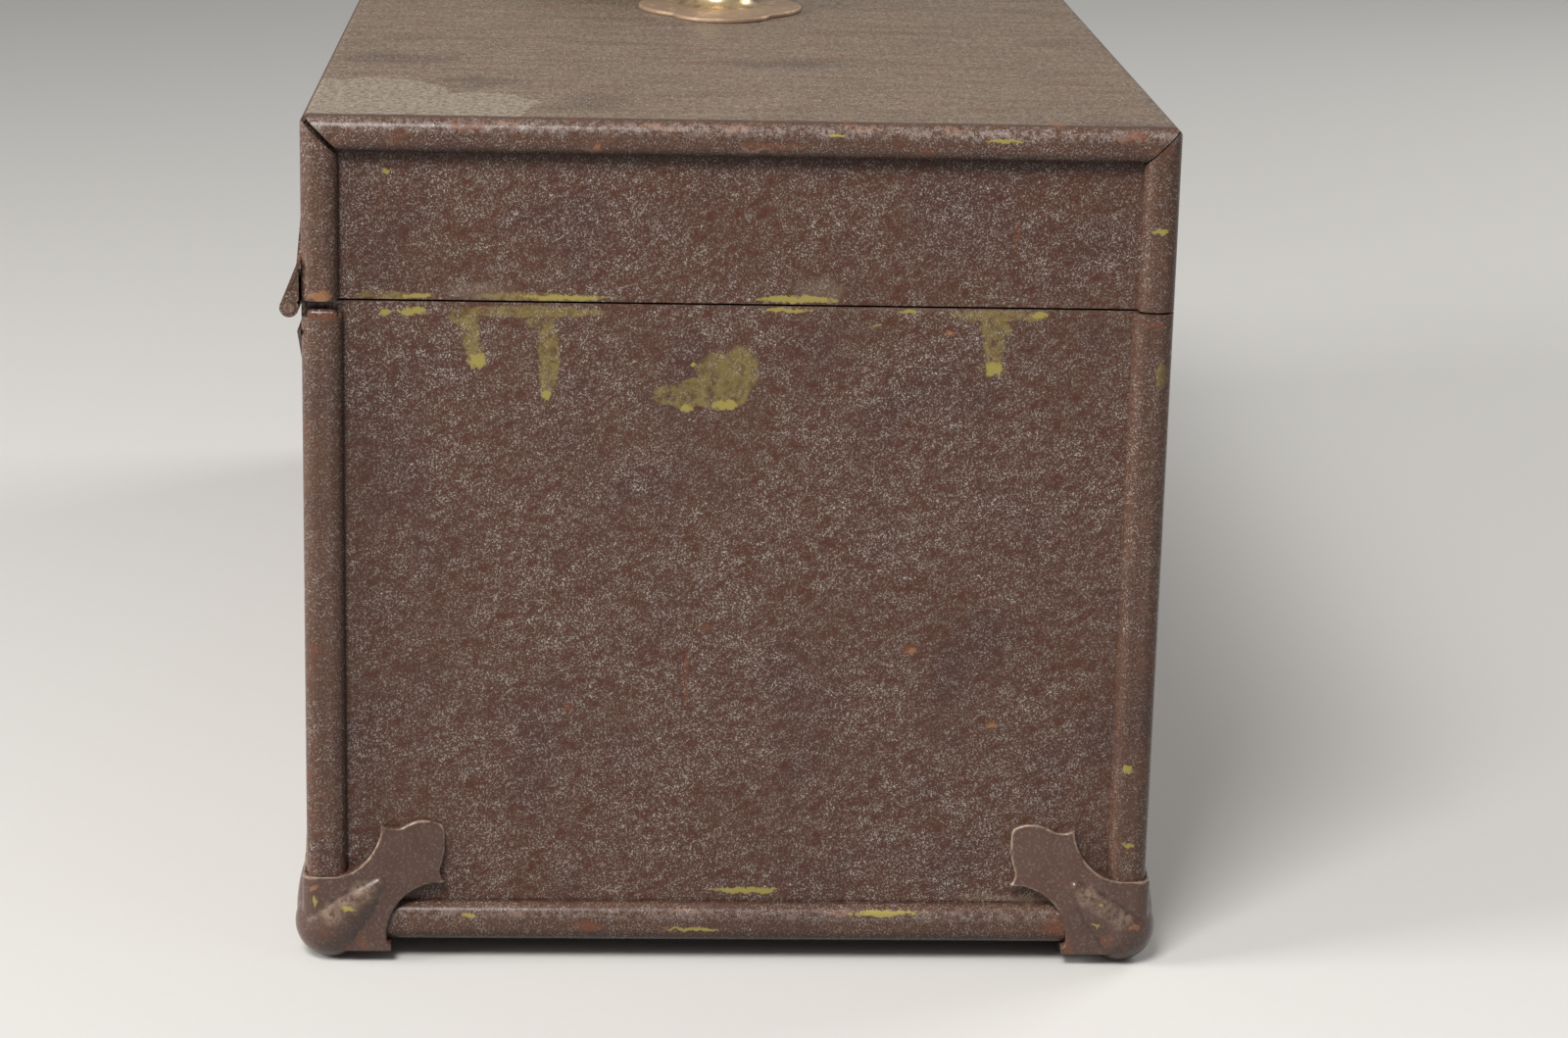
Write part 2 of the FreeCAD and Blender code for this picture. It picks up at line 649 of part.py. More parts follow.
slot_radius = stump_pin / 2 + stump_running_gap
bolt_under = bolt_front - overcut
bolt_over = bolt_back + overcut
bolt_slots = []
for x in stump_xs:
    for end in (x, x + bolt_throw):
        slot_end = rod(V(end, bolt_under, bolt_middle), V(end, bolt_over, bolt_middle), 2 * slot_radius)
        bolt_slots.append(slot_end)
    low = bolt_middle - slot_radius
    bolt_slots.append(block(x, x + bolt_throw, bolt_under, bolt_over, low, low + 2 * slot_radius))
talon_x = bolt_throw / 2
talon = rod(V(talon_x, bolt_under, bolt_bottom), V(talon_x, bolt_over, bolt_bottom), 2 * talon_radius)
lock_bolt = block(bolt_tip, bolt_tip + bolt_length, bolt_front, bolt_back, bolt_bottom, bolt_top)
lock_bolt = lock_bolt.cut(bolt_slots + [talon])


def stump(x):
    """Turned stump in the back of the lock case: the bolt slides between its shoulder and its head."""
    head_y = bolt_front - seat_gap
    steps = [
        (0, case_outside),
        (stump_pin / 2, case_outside),
        (stump_pin / 2, case_inside),
        (stump_head / 2, case_inside),
        (stump_head / 2, stump_bottom),
        (stump_pin / 2, stump_bottom),
        (stump_pin / 2, head_y),
        (stump_head / 2, head_y),
        (stump_head / 2, head_y - stump_head_height),
        (0, head_y - stump_head_height),
    ]
    return turned(steps, lambda p: V(x + p.x, p.y, bolt_middle), V(x, 0, bolt_middle), V(0, 1, 0))


bolt_stumps = [stump(x) for x in stump_xs]
key_pin = rod(V(0, plate_face, key_z), V(0, case_outside, key_z), key_pin_diameter)

spring_top = case_top - lock_case_sheet - spring_sheet / 2
spring_low = bolt_top + spring_sheet / 2 + seat_gap
spring_right = case_half - lock_case_sheet - seat_gap
spring_touch = spring_right - spring_seat - spring_slope
spring_line = [
    (spring_right, spring_top),
    (spring_right - spring_seat, spring_top),
    (spring_touch, spring_low),
    (spring_touch - spring_toe, (spring_low + spring_top) / 2),
]
spring_section = strip_face(spring_line, [spring_bend, spring_bend], spring_sheet, in_xz(bolt_front))
bolt_spring = spring_section.extrude(V(0, bolt_thickness, 0))

body_wrapper = body_wrapper.cut(lock_rivet_holes + [keyhole])

flange_bottom = lid_bottom + hem_depth + lock_drop
flange_top = flange_bottom + staple_flange_height
tongue_left = staple_x - staple_sheet / 2
tongue_bottom = bolt_bottom - bolt_hole_gap - staple_land
tongue = block(
    tongue_left, tongue_left + staple_sheet, tongue_front, tongue_back, tongue_bottom, flange_top
)
web = block(tongue_left, tongue_left + staple_sheet, front_inside, tongue_back, flange_bottom, flange_top)
flange = block(
    tongue_left,
    tongue_left + staple_flange,
    front_inside,
    front_inside + staple_sheet,
    flange_bottom,
    flange_top,
)
bolt_hole = block(
    staple_x - staple_sheet,
    staple_x + staple_sheet,
    bolt_front - bolt_hole_gap,
    bolt_back + bolt_hole_gap,
    bolt_bottom - bolt_hole_gap,
    bolt_top + bolt_hole_gap,
)
staple_middle = (flange_bottom + flange_top) / 2
staple_rivet_xs = [tongue_left + staple_sheet + rivet_head, tongue_left + staple_flange - rivet_head]
staple_grip = sheet + staple_sheet
staple_points = [V(x, -width / 2, staple_middle) for x in staple_rivet_xs]
staple_holes = [rivet_hole(point, into_box, staple_grip) for point in staple_points]
staple_rivets = [rivet(point, into_box, staple_grip) for point in staple_points]
lock_staple = tongue.fuse([web, flange]).removeSplitter().cut(staple_holes + [bolt_hole])
lid_wrapper = lid_wrapper.cut(staple_holes)


# Feet
def wing_face(place):
    """Outline of one wing: in from the corner along the box, and up from the floor."""

    def at(run, rise):
        return place(V(run, rise, 0))

    low = floor_gap - pad_sheet
    cusp_rise = wing_band + wing_bow
    dip_rise = cusp_rise - wing_dip_drop / 2
    across = at(1, 0) - at(0, 0)
    up = at(0, 1) - at(0, 0)
    corner_low = at(-wing_sheet, low)
    corner_top = at(-wing_sheet, wing_band)
    bow_start = at(wing_cusp_run - wing_bow, wing_band)
    bow_centre = at(wing_cusp_run - wing_bow, cusp_rise)
    cusp = at(wing_cusp_run, cusp_rise)
    dip = at(wing_cusp_run + wing_dip_run, dip_rise)
    shoulder = at(wing_reach - wing_side_bulge / 2, dip_rise)
    notch = at(wing_reach - wing_side_bulge, dip_rise - wing_side_height)
    tail = at(wing_reach, wing_tail_rise)
    waist = at(wing_waist_run, wing_waist_rise)
    toe_end = at(pad_reach, low)
    slope = (up - across) * math.sqrt(0.5)
    edges = [
        Part.makeLine(corner_low, corner_top),
        Part.makeLine(corner_top, bow_start),
        round_edge(bow_start, cusp, bow_centre),
        bowed_edge(cusp, dip, up * (-wing_dip_drop / 2)),
        bowed_edge(dip, shoulder, up * wing_crown_rise),
        bowed_edge(shoulder, notch, across * (wing_side_bulge / 2)),
        bowed_edge(notch, tail, across * (-wing_side_bulge / 3)),
        bowed_edge(tail, waist, slope * wing_hollow),
        bowed_edge(waist, toe_end, across * (-wing_side_bulge / 4)),
        Part.makeLine(toe_end, corner_low),
    ]
    return closed_face(edges)


def rib(tip):
    """Teardrop rib that swells from its tip on a wing into the ball toe."""
    along = (tip - toe_centre).normalize()
    aside = along.cross(V(0, 0, 1)).normalize()
    lean = math.radians(rib_lean)
    root_side = toe_centre + aside * rib_root_radius
    tip_side = tip + (aside * math.cos(lean) + along * math.sin(lean)) * rib_tip_radius
    tip_end = tip + along * rib_tip_radius
    edges = [
        Part.makeLine(toe_centre, root_side),
        bowed_edge(root_side, tip_side, aside * rib_swell),
        round_edge(tip_side, tip_end, tip),
        Part.makeLine(tip_end, toe_centre),
    ]
    return closed_face(edges).revolve(toe_centre, along, 360)


def box_corner():
    """Space that the box takes up inside a foot at the left front corner."""
    gap = seat_gap
    reach = body_bead_width + gap
    crest = bead_height + gap
    section = [(-gap, -overcut), (-gap, crest), (reach, crest), (reach, -overcut)]
    rolls = [bead_outer_roll + gap, bead_inner_roll + gap]
    face = panel_face
    upright = outline_face(section, rolls, lambda p: V(-face - p.y, -width / 2 + p.x, 0))
    level = outline_face(section, rolls, lambda p: V(-face - p.y, -width / 2, p.x))
    filled = trough(-gap, body_depth, -face - gap, 0)
    corner = filled.fuse([upright.extrude(V(0, 0, body_depth)), level.extrude(V(0, width, 0))])
    corner.translate(V(0, 0, body_bottom))
    return corner


corner_x = -length / 2
corner_y = -width / 2
toe_centre = V(corner_x + toe_inset, corner_y + toe_inset, toe_ball / 2 - toe_flat)
tip_depth = rib_tip_radius - wing_sheet - rib_tip_relief
end_tip = V(corner_x + tip_depth, corner_y + rib_tip_run, rib_tip_rise)
side_tip = V(corner_x + rib_tip_run, corner_y + tip_depth, rib_tip_rise)


def above_crease():
    """Space over the outer part of the end wing, which slopes from the bead crests towards the panel."""
    slant = V(0, 1, 1).normalize()
    across = V(0, 1, -1).normalize()
    reach = 2 * wing_reach
    crease = V(corner_x - wing_sheet, end_tip.y, end_tip.z) - slant * wing_crease
    section = [(0, 0), (reach, -reach * wing_fall), (reach, reach), (0, reach)]
    start = crease - across * reach
    return polygon(section, lambda p: start + slant * p.x - V(p.y, 0, 0)).extrude(across * (2 * reach))


def front_left_foot():
    """Corner foot: two winged plates round the box corner, a pad below, and a ball toe with two ribs."""
    end_wing = wing_face(lambda p: V(corner_x - wing_sheet, corner_y + p.x, p.y))
    end_wing = end_wing.extrude(V(wing_sheet + bead_height - seat_gap, 0, 0)).cut(above_crease())
    side_wing = wing_face(lambda p: V(corner_x + p.x, corner_y - wing_sheet, p.y))
    side_wing = side_wing.extrude(V(0, wing_sheet - seat_gap, 0))
    pad_corner = -wing_sheet
    pad_points = [
        (corner_x + pad_corner, corner_y + pad_corner),
        (corner_x + pad_reach, corner_y + pad_corner),
        (corner_x + pad_reach, corner_y + pad_reach / 2),
        (corner_x + pad_reach / 2, corner_y + pad_reach),
        (corner_x + pad_corner, corner_y + pad_reach),
    ]
    pad = polygon(pad_points, in_xy(floor_gap - pad_sheet)).extrude(V(0, 0, pad_sheet - seat_gap))
    plates = end_wing.fuse([side_wing, pad]).removeSplitter()
    upright_edges = [
        edge
        for edge in plates.Edges
        if all(abs(v.X - corner_x + wing_sheet) < 1e-3 for v in edge.Vertexes)
        and all(abs(v.Y - corner_y + wing_sheet) < 1e-3 for v in edge.Vertexes)
    ]
    plates = plates.makeFillet(wing_corner_round, upright_edges)
    toe_room = block(-length, toe_centre.x, -width, toe_centre.y, -toe_ball, toe_centre.z)
    plates = plates.cut(toe_room)
    toe = Part.makeSphere(toe_ball / 2, toe_centre).fuse(rib(end_tip)).fuse(rib(side_tip))
    below_floor = block(-length, length, -width, width, -toe_ball, 0)
    foot = plates.fuse(toe).cut([box_corner(), below_floor])
    return max(foot.Solids, key=lambda solid: solid.Volume)


foot_front_left = front_left_foot()
foot_front_right = mirrored_in_x(foot_front_left)
foot_back_left = mirrored_in_y(foot_front_left)
foot_back_right = mirrored_in_x(foot_back_left)

# Pieces, each in its own file
save("body_wrapper", body_wrapper)
save("body_end_left", body_end)
save("body_end_right", mirrored_in_x(body_end))
save("foot_front_left", foot_front_left)
save("foot_front_right", foot_front_right)
save("foot_back_left", foot_back_left)
save("foot_back_right", foot_back_right)
save("lid_wrapper", lid_wrapper)
save("lid_end_left", lid_end)
save("lid_end_right", mirrored_in_x(lid_end))
save("hinge_leaf_body", hinge_leaf_body)
save("hinge_leaf_lid", hinge_leaf_lid)
save("hinge_pin", hinge_pin_bar)
save("hinge_rivets_body", *hinge_rivets_body)
save("hinge_rivets_lid", *hinge_rivets_lid)
save("handle_plate_left", handle_plate(-post_x))
save("handle_plate_right", handle_plate(post_x))
save("handle_post_left", handle_post(-post_x, 1))
save("handle_post_right", handle_post(post_x, -1))
save("handle_washers", washer(-post_x), washer(post_x))
save("handle_bail", bail())
save("lock_plate", lock_plate)
save("lock_case", lock_case)
save("lock_bolt", lock_bolt)
save("bolt_stumps", *bolt_stumps)
save("bolt_spring", bolt_spring)
save("key_pin", key_pin)
save("lock_rivets", *lock_rivets)
save("lock_staple", lock_staple)
save("staple_rivets", *staple_rivets)
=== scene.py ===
"""Tin money box: finishes for its folded sheets, cast feet, handle, hinge and lock, and a studio stage."""

import math

import bpy
import numpy as np
from bpy.props import FloatProperty, FloatVectorProperty, PointerProperty
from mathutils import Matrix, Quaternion, Vector


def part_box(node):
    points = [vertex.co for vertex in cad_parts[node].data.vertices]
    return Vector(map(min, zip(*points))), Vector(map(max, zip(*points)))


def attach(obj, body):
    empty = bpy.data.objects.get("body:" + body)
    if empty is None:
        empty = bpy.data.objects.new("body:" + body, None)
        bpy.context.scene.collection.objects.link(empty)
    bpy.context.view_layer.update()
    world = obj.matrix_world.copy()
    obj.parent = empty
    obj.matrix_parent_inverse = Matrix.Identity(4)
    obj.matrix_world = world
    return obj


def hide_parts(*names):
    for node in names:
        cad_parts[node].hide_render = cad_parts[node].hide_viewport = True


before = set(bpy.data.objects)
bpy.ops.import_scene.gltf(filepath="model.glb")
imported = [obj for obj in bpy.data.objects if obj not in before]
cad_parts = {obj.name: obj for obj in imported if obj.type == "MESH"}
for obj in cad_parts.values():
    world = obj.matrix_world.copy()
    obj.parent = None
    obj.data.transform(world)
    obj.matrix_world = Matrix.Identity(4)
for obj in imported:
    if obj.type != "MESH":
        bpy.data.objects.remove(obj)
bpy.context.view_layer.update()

bl_info = {
    "name": "Tin Money Box",
    "version": (1, 0, 0),
    "blender": (4, 5, 0),
    "location": "View3D > Sidebar > Money Box",
    "description": "Finishes a folded tin box with cast feet, a long hinge, a lock and a drop handle",
    "category": "Object",
}

MM = 0.001  # metres in a millimetre


def linear(code):
    """Linear colour of an sRGB hex value."""
    shares = [int(code[i : i + 2], 16) / 255 for i in (1, 3, 5)]
    return [s / 12.92 if s <= 0.04045 else ((s + 0.055) / 1.055) ** 2.4 for s in shares]


def colour(name, description, code):
    """Colour that a user can change."""
    return FloatVectorProperty(
        name=name, description=description, subtype="COLOR", size=3, min=0, max=1, default=linear(code)
    )


def length(name, description, millimetres):
    """Length that a user can change."""
    return FloatProperty(
        name=name,
        description=description,
        unit="LENGTH",
        precision=5,
        min=0.01 * MM,
        default=millimetres * MM,
    )


def power(name, description, watts):
    """Power of a lamp that a user can change."""
    return FloatProperty(name=name, description=description, unit="POWER", min=0, default=watts)


def angle(name, description, degrees):
    """Angle that a user can change."""
    return FloatProperty(name=name, description=description, unit="ROTATION", default=math.radians(degrees))


class EnamelLook(bpy.types.PropertyGroup):
    """Crinkled brown enamel of the sheets and its wear."""

    red_brown: colour("Red brown", "Enamel where the film lies smooth", "#522d1f")
    grey_brown: colour("Grey brown", "Enamel where crinkles crowd", "#584032")
    violet_brown: colour("Violet brown", "Enamel in its darker clouds", "#4a3029")
    # Painted shade with some grime: dark lines where the beads meet the end panels, and the feet's hollows
    grime_and_shade: colour("Grime", "Dirt along the beads", "#1d1210")
    # Painted highlight: the colour of the glints on the crinkles' crests
    painted_glint: colour("Glint", "Crests of the crinkles", "#f2ebe2")
    worn_top: colour("Worn top", "Rubbed and dusty enamel on top of the lid", "#8c7a66")
    stained_top: colour("Stained top", "Damp stains on top of the lid", "#54443a")
    pale_patch: colour("Pale patch", "Where a spill has bleached the top", "#a09481")
    lacquer: colour("Lacquer", "Thin lacquer inside", "#4d3a2c")
    rust: colour("Rust", "Rust on bare edges and in spots", "#7c4a32")
    scuff: colour("Scuff", "Scuffed film along the lid's beads", "#947361")
    bare: colour("Bare", "Bright rust where the film has chipped off", "#a8774f")
    paint: colour("Paint", "Yellow paint that was dripped on the box", "#a69650")
    crinkle: length("Crinkle", "Spacing of the crinkles", 0.25)
    patch: length("Patch", "Size of the places without crinkles", 1.25)
    cloud: length("Cloud", "Size of the clouds of colour", 16.0)
    tuck_depth: length("Tuck depth", "Round ends of the back beads below the seam", 1.2)
    tuck_height: length("Tuck height", "Height of those round ends", 3.0)
    tuck_round: length("Tuck rounding", "Radius of their edges", 1.0)


class MetalLook(bpy.types.PropertyGroup):
    """Cast feet, handle, hinge wire and lock."""

    casting: colour("Casting", "Enamel on the feet", "#594035")
    # Also painted as a highlight along the feet's ribs
    casting_worn: colour("Worn casting", "Rubbed high spots of the feet", "#94806c")
    brass: colour("Brass", "Posts of the handle", "#dec69c")
    tarnish: colour("Tarnish", "Dull film on the posts", "#936c48")
    bronze: colour("Bronze", "Browned plates under the posts", "#a58a71")
    bail: colour("Bail", "Dark enamel of the bail", "#2e262a")
    steel: colour("Steel", "Bare steel of the lock", "#8d8880")
    lock_brass: colour("Lock brass", "Bolt of the lock", "#b89a5a")
    voxel: length("Casting grain", "Mesh size of the castings", 0.3)
    relief: length("Relief", "Height of an edge that is rubbed bare", 0.12)
    plate_round: length("Plate rounding", "Width of the rounded edges of the handle's plates", 0.35)


class StageLook(bpy.types.PropertyGroup):
    """Floor, lamps and camera."""

    floor: colour("Floor", "Plain floor", "#d9d6d0")
    bounce: colour("Bounce", "Colour of the light that the floor throws back", "#5c5d62")
    sky_tint: colour("Sky tint", "Colour of the light from all round", "#f9faff")
    sky: FloatProperty(name="Sky", description="Strength of the light from all round", min=0, default=0.2)
    key_power: power("Key lamp", "Power of the key lamp", 14.7)
    side_power: power("Side lamp", "Power of the lamp at the hinge side", 14.0)
    fill_power: power("Fill lamp", "Power of the fill", 1.5)
    front_power: power("Front lamp", "Power of the lamp at the lock side", 9.0)
    lens: FloatProperty(name="Lens", description="Focal length", default=86.65, unit="CAMERA")
    camera_place: FloatVectorProperty(
        name="Camera place",
        description="Where the camera stands, in front of the left end",
        subtype="TRANSLATION",
        unit="LENGTH",
        default=(-0.82247, 0.02387, 0.2541),
    )
    pitch: angle("Pitch", "Camera below level", 15.14)
    yaw: angle("Yaw", "Camera off the box's axis", -2.914)
    roll: angle("Roll", "Tilt of the picture", 1.377)


# Lamps: place and width in metres. Their powers are in StageLook
LAMPS = {
    "key": ((-0.93, 0.35, 1.07), 0.45),
    "side": ((-0.45, 1.2, 0.5), 0.5),
    "fill": ((-0.9, -1.2, 0.7), 1.2),
    "front": ((0.7, -1.1, 0.9), 0.8),
}
LAMP_AIM = (-0.15, 0, 0.08)
FLOOR_WIDTH = 12.0  # metres
PAPER_SHADE = 0.97  # darkest fibre of the floor against its colour

# Places taken from the CAD parts, and sizes of the sheet, in millimetres
body_low, body_high = [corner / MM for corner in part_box("body_wrapper")]
panel_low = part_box("body_end_left")[0] / MM
lid_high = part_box("lid_wrapper")[1] / MM
PANEL_FACE = -panel_low.x
WALL = body_high.y
LID_TOP = lid_high.z
BODY_FLOOR = body_low.z
BODY_TOP = body_high.z
SHEET = 0.7  # thickness of the tin
BEAD_BODY = 7.0  # width of the body's rolled edges
BEAD_LID = 6.3  # width of the lid's rolled edges
BODY_SEAM = BODY_FLOOR + BEAD_BODY
LID_SEAM = LID_TOP - BEAD_LID
TUCK_GAP = 0.05  # from the end panel to a bead's round end
TUCK_REACH = 2.2  # how far a round end stands out of the panel
TUCK_INNER = 0.8  # room beside a round end, towards the middle of the panel
TUCK_OUTER = 0.9  # room beside it, towards the wall
END_REACH = 8.0  # how far a mark on the end reaches along the box
TOP_REACH = 3.0  # how far a mark on the top reaches down

BODY_NODES = (
    "body_wrapper",
    "body_end_left",
    "body_end_right",
    "hinge_leaf_body",
    "hinge_rivets_body",
    "lock_rivets",
)
LID_NODES = (
    "lid_wrapper",
    "lid_end_left",
    "lid_end_right",
    "hinge_leaf_lid",
    "hinge_rivets_lid",
    "staple_rivets",
)
STEEL_NODES = (
    "lock_plate",
    "lock_case",
    "lock_staple",
    "bolt_stumps",
    "bolt_spring",
    "key_pin",
    "handle_washers",
)


def on_end(*rows):
    """Ellipses on the left end from rows of y, z, half width and half height."""
    return [((-PANEL_FACE, y, z), (END_REACH, ry, rz)) for y, z, ry, rz in rows]


def on_top(*rows):
    """Ellipses on top of the lid from rows of x, y and half sizes."""
    return [((x, y, LID_TOP), (rx, ry, TOP_REACH)) for x, y, rx, ry in rows]


# Paint, thin smears of it, rubbed places and rust on the left end; stains and a bleached patch on the lid
BODY_STAINS = {
    "paint": on_end(
        (60.5, 118.0, 1.1, 0.7),
        (56.0, 118.1, 2.5, 0.8),
        (45.2, 109.6, 1.5, 1.6),
        (33.0, 103.6, 0.8, 1.2),
        (2.2, 102.2, 2.4, 1.0),
        (9.0, 101.5, 1.2, 0.7),
        (7.7, 109.4, 0.6, 0.4),
        (-8.3, 119.2, 4.4, 0.4),
        (-29.1, 119.2, 1.7, 0.4),
        (-23.8, 116.8, 0.9, 0.25),
        (-44.2, 109.3, 2.1, 1.3),
        (-51.8, 118.8, 1.8, 0.6),
        (-3.2, 12.9, 6.3, 0.7),
        (46.3, 8.9, 1.4, 0.5),
        (-28.0, 9.7, 7.6, 0.5),
        (6.0, 6.5, 5.8, 0.35),
        (-70.4, 37.3, 1.3, 1.0),
        (-71.1, 23.1, 1.4, 0.4),
    ),
    "smear": on_end(
        (36.0, 118.3, 13.8, 1.1),
        (47.4, 117.2, 2.6, 1.5),
        (46.2, 114.2, 1.7, 3.2),
        (45.5, 111.4, 1.5, 2.0),
        (32.8, 110.2, 1.9, 7.4),
        (35.2, 116.2, 1.8, 0.9),
        (-0.5, 108.5, 3.2, 4.4),
        (3.6, 108.4, 3.8, 3.4),
        (1.2, 104.5, 3.2, 3.0),
        (5.2, 103.8, 3.2, 2.2),
        (7.4, 105.6, 2.8, 1.5),
        (11.6, 103.8, 3.2, 1.8),
        (9.2, 102.6, 2.0, 1.6),
        (-44.6, 118.6, 9.2, 1.0),
        (-44.3, 116.4, 2.9, 1.8),
        (-44.2, 113.4, 1.8, 4.4),
        (-73.1, 108.8, 1.1, 2.6),
    ),
    "rub": on_end(
        (-36.0, 119.5, 34.0, 0.35),
        (-52.0, 11.6, 13.0, 0.7),
    ),
    "rust": on_end(
        (-36.4, 115.7, 1.2, 0.9),
        (-31.2, 58.4, 1.5, 1.3),
        (-46.0, 44.7, 1.7, 1.0),
        (5.2, 62.1, 2.2, 0.5),
        (7.9, 53.0, 0.4, 7.0),
        (28.8, 47.4, 0.7, 1.4),
        (25.0, 7.0, 3.6, 1.2),
        (-59.0, 7.4, 3.0, 2.6),
        (-72.0, 118.0, 3.0, 0.8),
        (71.0, 117.4, 4.0, 0.7),
    ),
    "bare": on_end(
        (-46.2, 44.6, 1.1, 0.5),
        (-31.2, 58.2, 0.8, 0.6),
        (-36.4, 115.8, 0.7, 0.5),
    ),
    "scuff": on_end(
        (-20.0, 9.6, 3.0, 0.4),
        (38.0, 9.4, 2.0, 0.3),
        (8.0, 9.6, 4.0, 0.3),
    ),
}
LID_STAINS = {
    "paint": on_end(
        (55.5, 120.9, 2.8, 0.45),
        (30.5, 120.9, 7.8, 0.5),
        (-10.0, 121.0, 7.6, 0.7),
        (-71.9, 134.4, 1.8, 0.6),
        (-44.6, 149.5, 3.4, 0.35),
        (-15.9, 150.1, 1.3, 0.3),
        (60.3, 142.2, 0.6, 0.5),
    ),
    "smear": on_end(
        (59.5, 120.9, 7.0, 0.7),
        (34.0, 120.9, 12.0, 0.8),
    ),
    "rub": on_end(
        (44.7, 121.8, 6.4, 1.7),
        (-14.0, 122.6, 5.0, 2.2),
    ),
    "rust": on_end(
        (24.7, 147.8, 1.5, 1.0),
        (-66.0, 150.4, 4.0, 1.0),
        (47.0, 150.6, 5.0, 0.7),
        (-5.0, 148.0, 9.0, 0.5),
        (58.0, 149.0, 3.0, 0.5),
        (-31.0, 147.2, 2.2, 0.7),
        (-47.5, 132.0, 0.4, 3.6),
    ),
    "bare": on_end(
        (71.6, 121.0, 2.4, 0.9),
        (24.7, 147.9, 0.9, 0.6),
    ),
    "scuff": on_end(
        (-36.0, 151.2, 2.0, 0.4),
        (40.0, 151.2, 3.0, 0.4),
        (14.0, 150.8, 5.0, 0.4),
        (1.4, 150.9, 3.5, 0.5),
        (-1.6, 147.2, 4.5, 0.4),
        (-20.4, 151.2, 4.0, 0.3),
        (26.0, 147.2, 2.6, 0.5),
    ),
    "stain": on_top(
        (-121.0, 64.0, 8.0, 13.0),
        (-149.0, 45.0, 7.0, 9.0),
        (-169.0, 26.0, 12.0, 8.0),
        (-121.0, -10.0, 7.0, 16.0),
    ),
    "pale": on_top(
        (-167.0, 66.0, 21.0, 15.0),
        (-176.0, 46.0, 15.5, 11.5),
    ),
}
# Feet: paint and rust on the left ones, and the rib, rubbed and painted with a highlight on its upper flank,
# which every foot has
FOOT_STAINS = {
    "paint": on_end(
        (67.2, 10.6, 1.6, 0.7),
        (73.2, 11.8, 0.6, 1.0),
        (-66.6, 12.3, 0.8, 0.4),
        (-66.0, 8.3, 0.7, 0.5),
    ),
    "rust": on_end(
        (73.6, 14.3, 0.9, 0.9),
        (-73.0, 8.0, 1.2, 0.8),
    ),
    "rib": [
        ((PANEL_FACE, y, z), (END_REACH, 3.0, 2.4))
        for y, z in ((64.8, 13.6), (67.4, 11.4), (70.2, 9.4))
    ],
}

EASED = {"interpolation_type": "SMOOTHSTEP"}  # a range with soft ends
SHARE, GROUND, COAT, MIXED = 0, 6, 7, 2  # sockets of a Mix node that lays one colour over another
HALF = (0.5, 0.5, 0.5)  # middle of a noise's colours


def connect(tree, node, inputs):
    """Sets a node's inputs, in their order or by name or number, to values or to other nodes' outputs."""
    for key, value in inputs.items() if isinstance(inputs, dict) else enumerate(inputs):
        socket = node.inputs[key]
        if isinstance(value, bpy.types.NodeSocket):
            tree.links.new(value, socket)
        elif socket.type == "RGBA":
            socket.default_value = (*value, 1)
        else:
            socket.default_value = value


def add(tree, kind, inputs=(), out=0, **settings):
    """Adds a shader node with its settings and inputs, and gives one of its outputs."""
    node = tree.nodes.new("ShaderNode" + kind)
    for key, value in settings.items():
        setattr(node, key, value)
    connect(tree, node, inputs)
    return node.outputs[out]


def new_material(name):
    """Material with a Principled shader; gives it, its tree, the shader and places in millimetres."""
    material = bpy.data.materials.new(name)
    material.use_nodes = True
    tree = material.node_tree
    shader = next(node for node in tree.nodes if node.type == "BSDF_PRINCIPLED")
    place = add(tree, "TexCoord", out="Object")
    mm = add(tree, "VectorMath", {0: place, "Scale": 1 / MM}, operation="SCALE")
    return material, tree, shader, mm


def clouds(tree, place, size, low, high, detail=2.0, rough=0.55, least=0.0, most=1.0):
    """Cloudy pattern with features of a size in millimetres: least where it is under low, most above high."""
    inputs = {"Vector": place, "Scale": 1 / size, "Detail": detail, "Roughness": rough}
    return add(tree, "MapRange", (add(tree, "TexNoise", inputs), low, high, least, most), **EASED)


def spots(tree, place, ellipses):
    """Distance to the nearest of several ellipses: below 1 inside one. Ellipses are (centre, half sizes)."""
    nearest = None
    for centre, half in ellipses:
        inverse = [1 / h for h in half]
        shift = [-c * i for c, i in zip(centre, inverse)]
        scaled = add(tree, "VectorMath", (place, inverse, shift), operation="MULTIPLY_ADD")
        reach = add(tree, "VectorMath", (scaled,), "Value", operation="LENGTH")
        nearest = reach if nearest is None else add(tree, "Math", (nearest, reach), operation="MINIMUM")
    return nearest


def away(tree, value, line):
    """How far a value lies from a line, on either side of it."""
    offset = add(tree, "Math", (value, line), operation="SUBTRACT")
    return add(tree, "Math", (offset,), operation="ABSOLUTE")


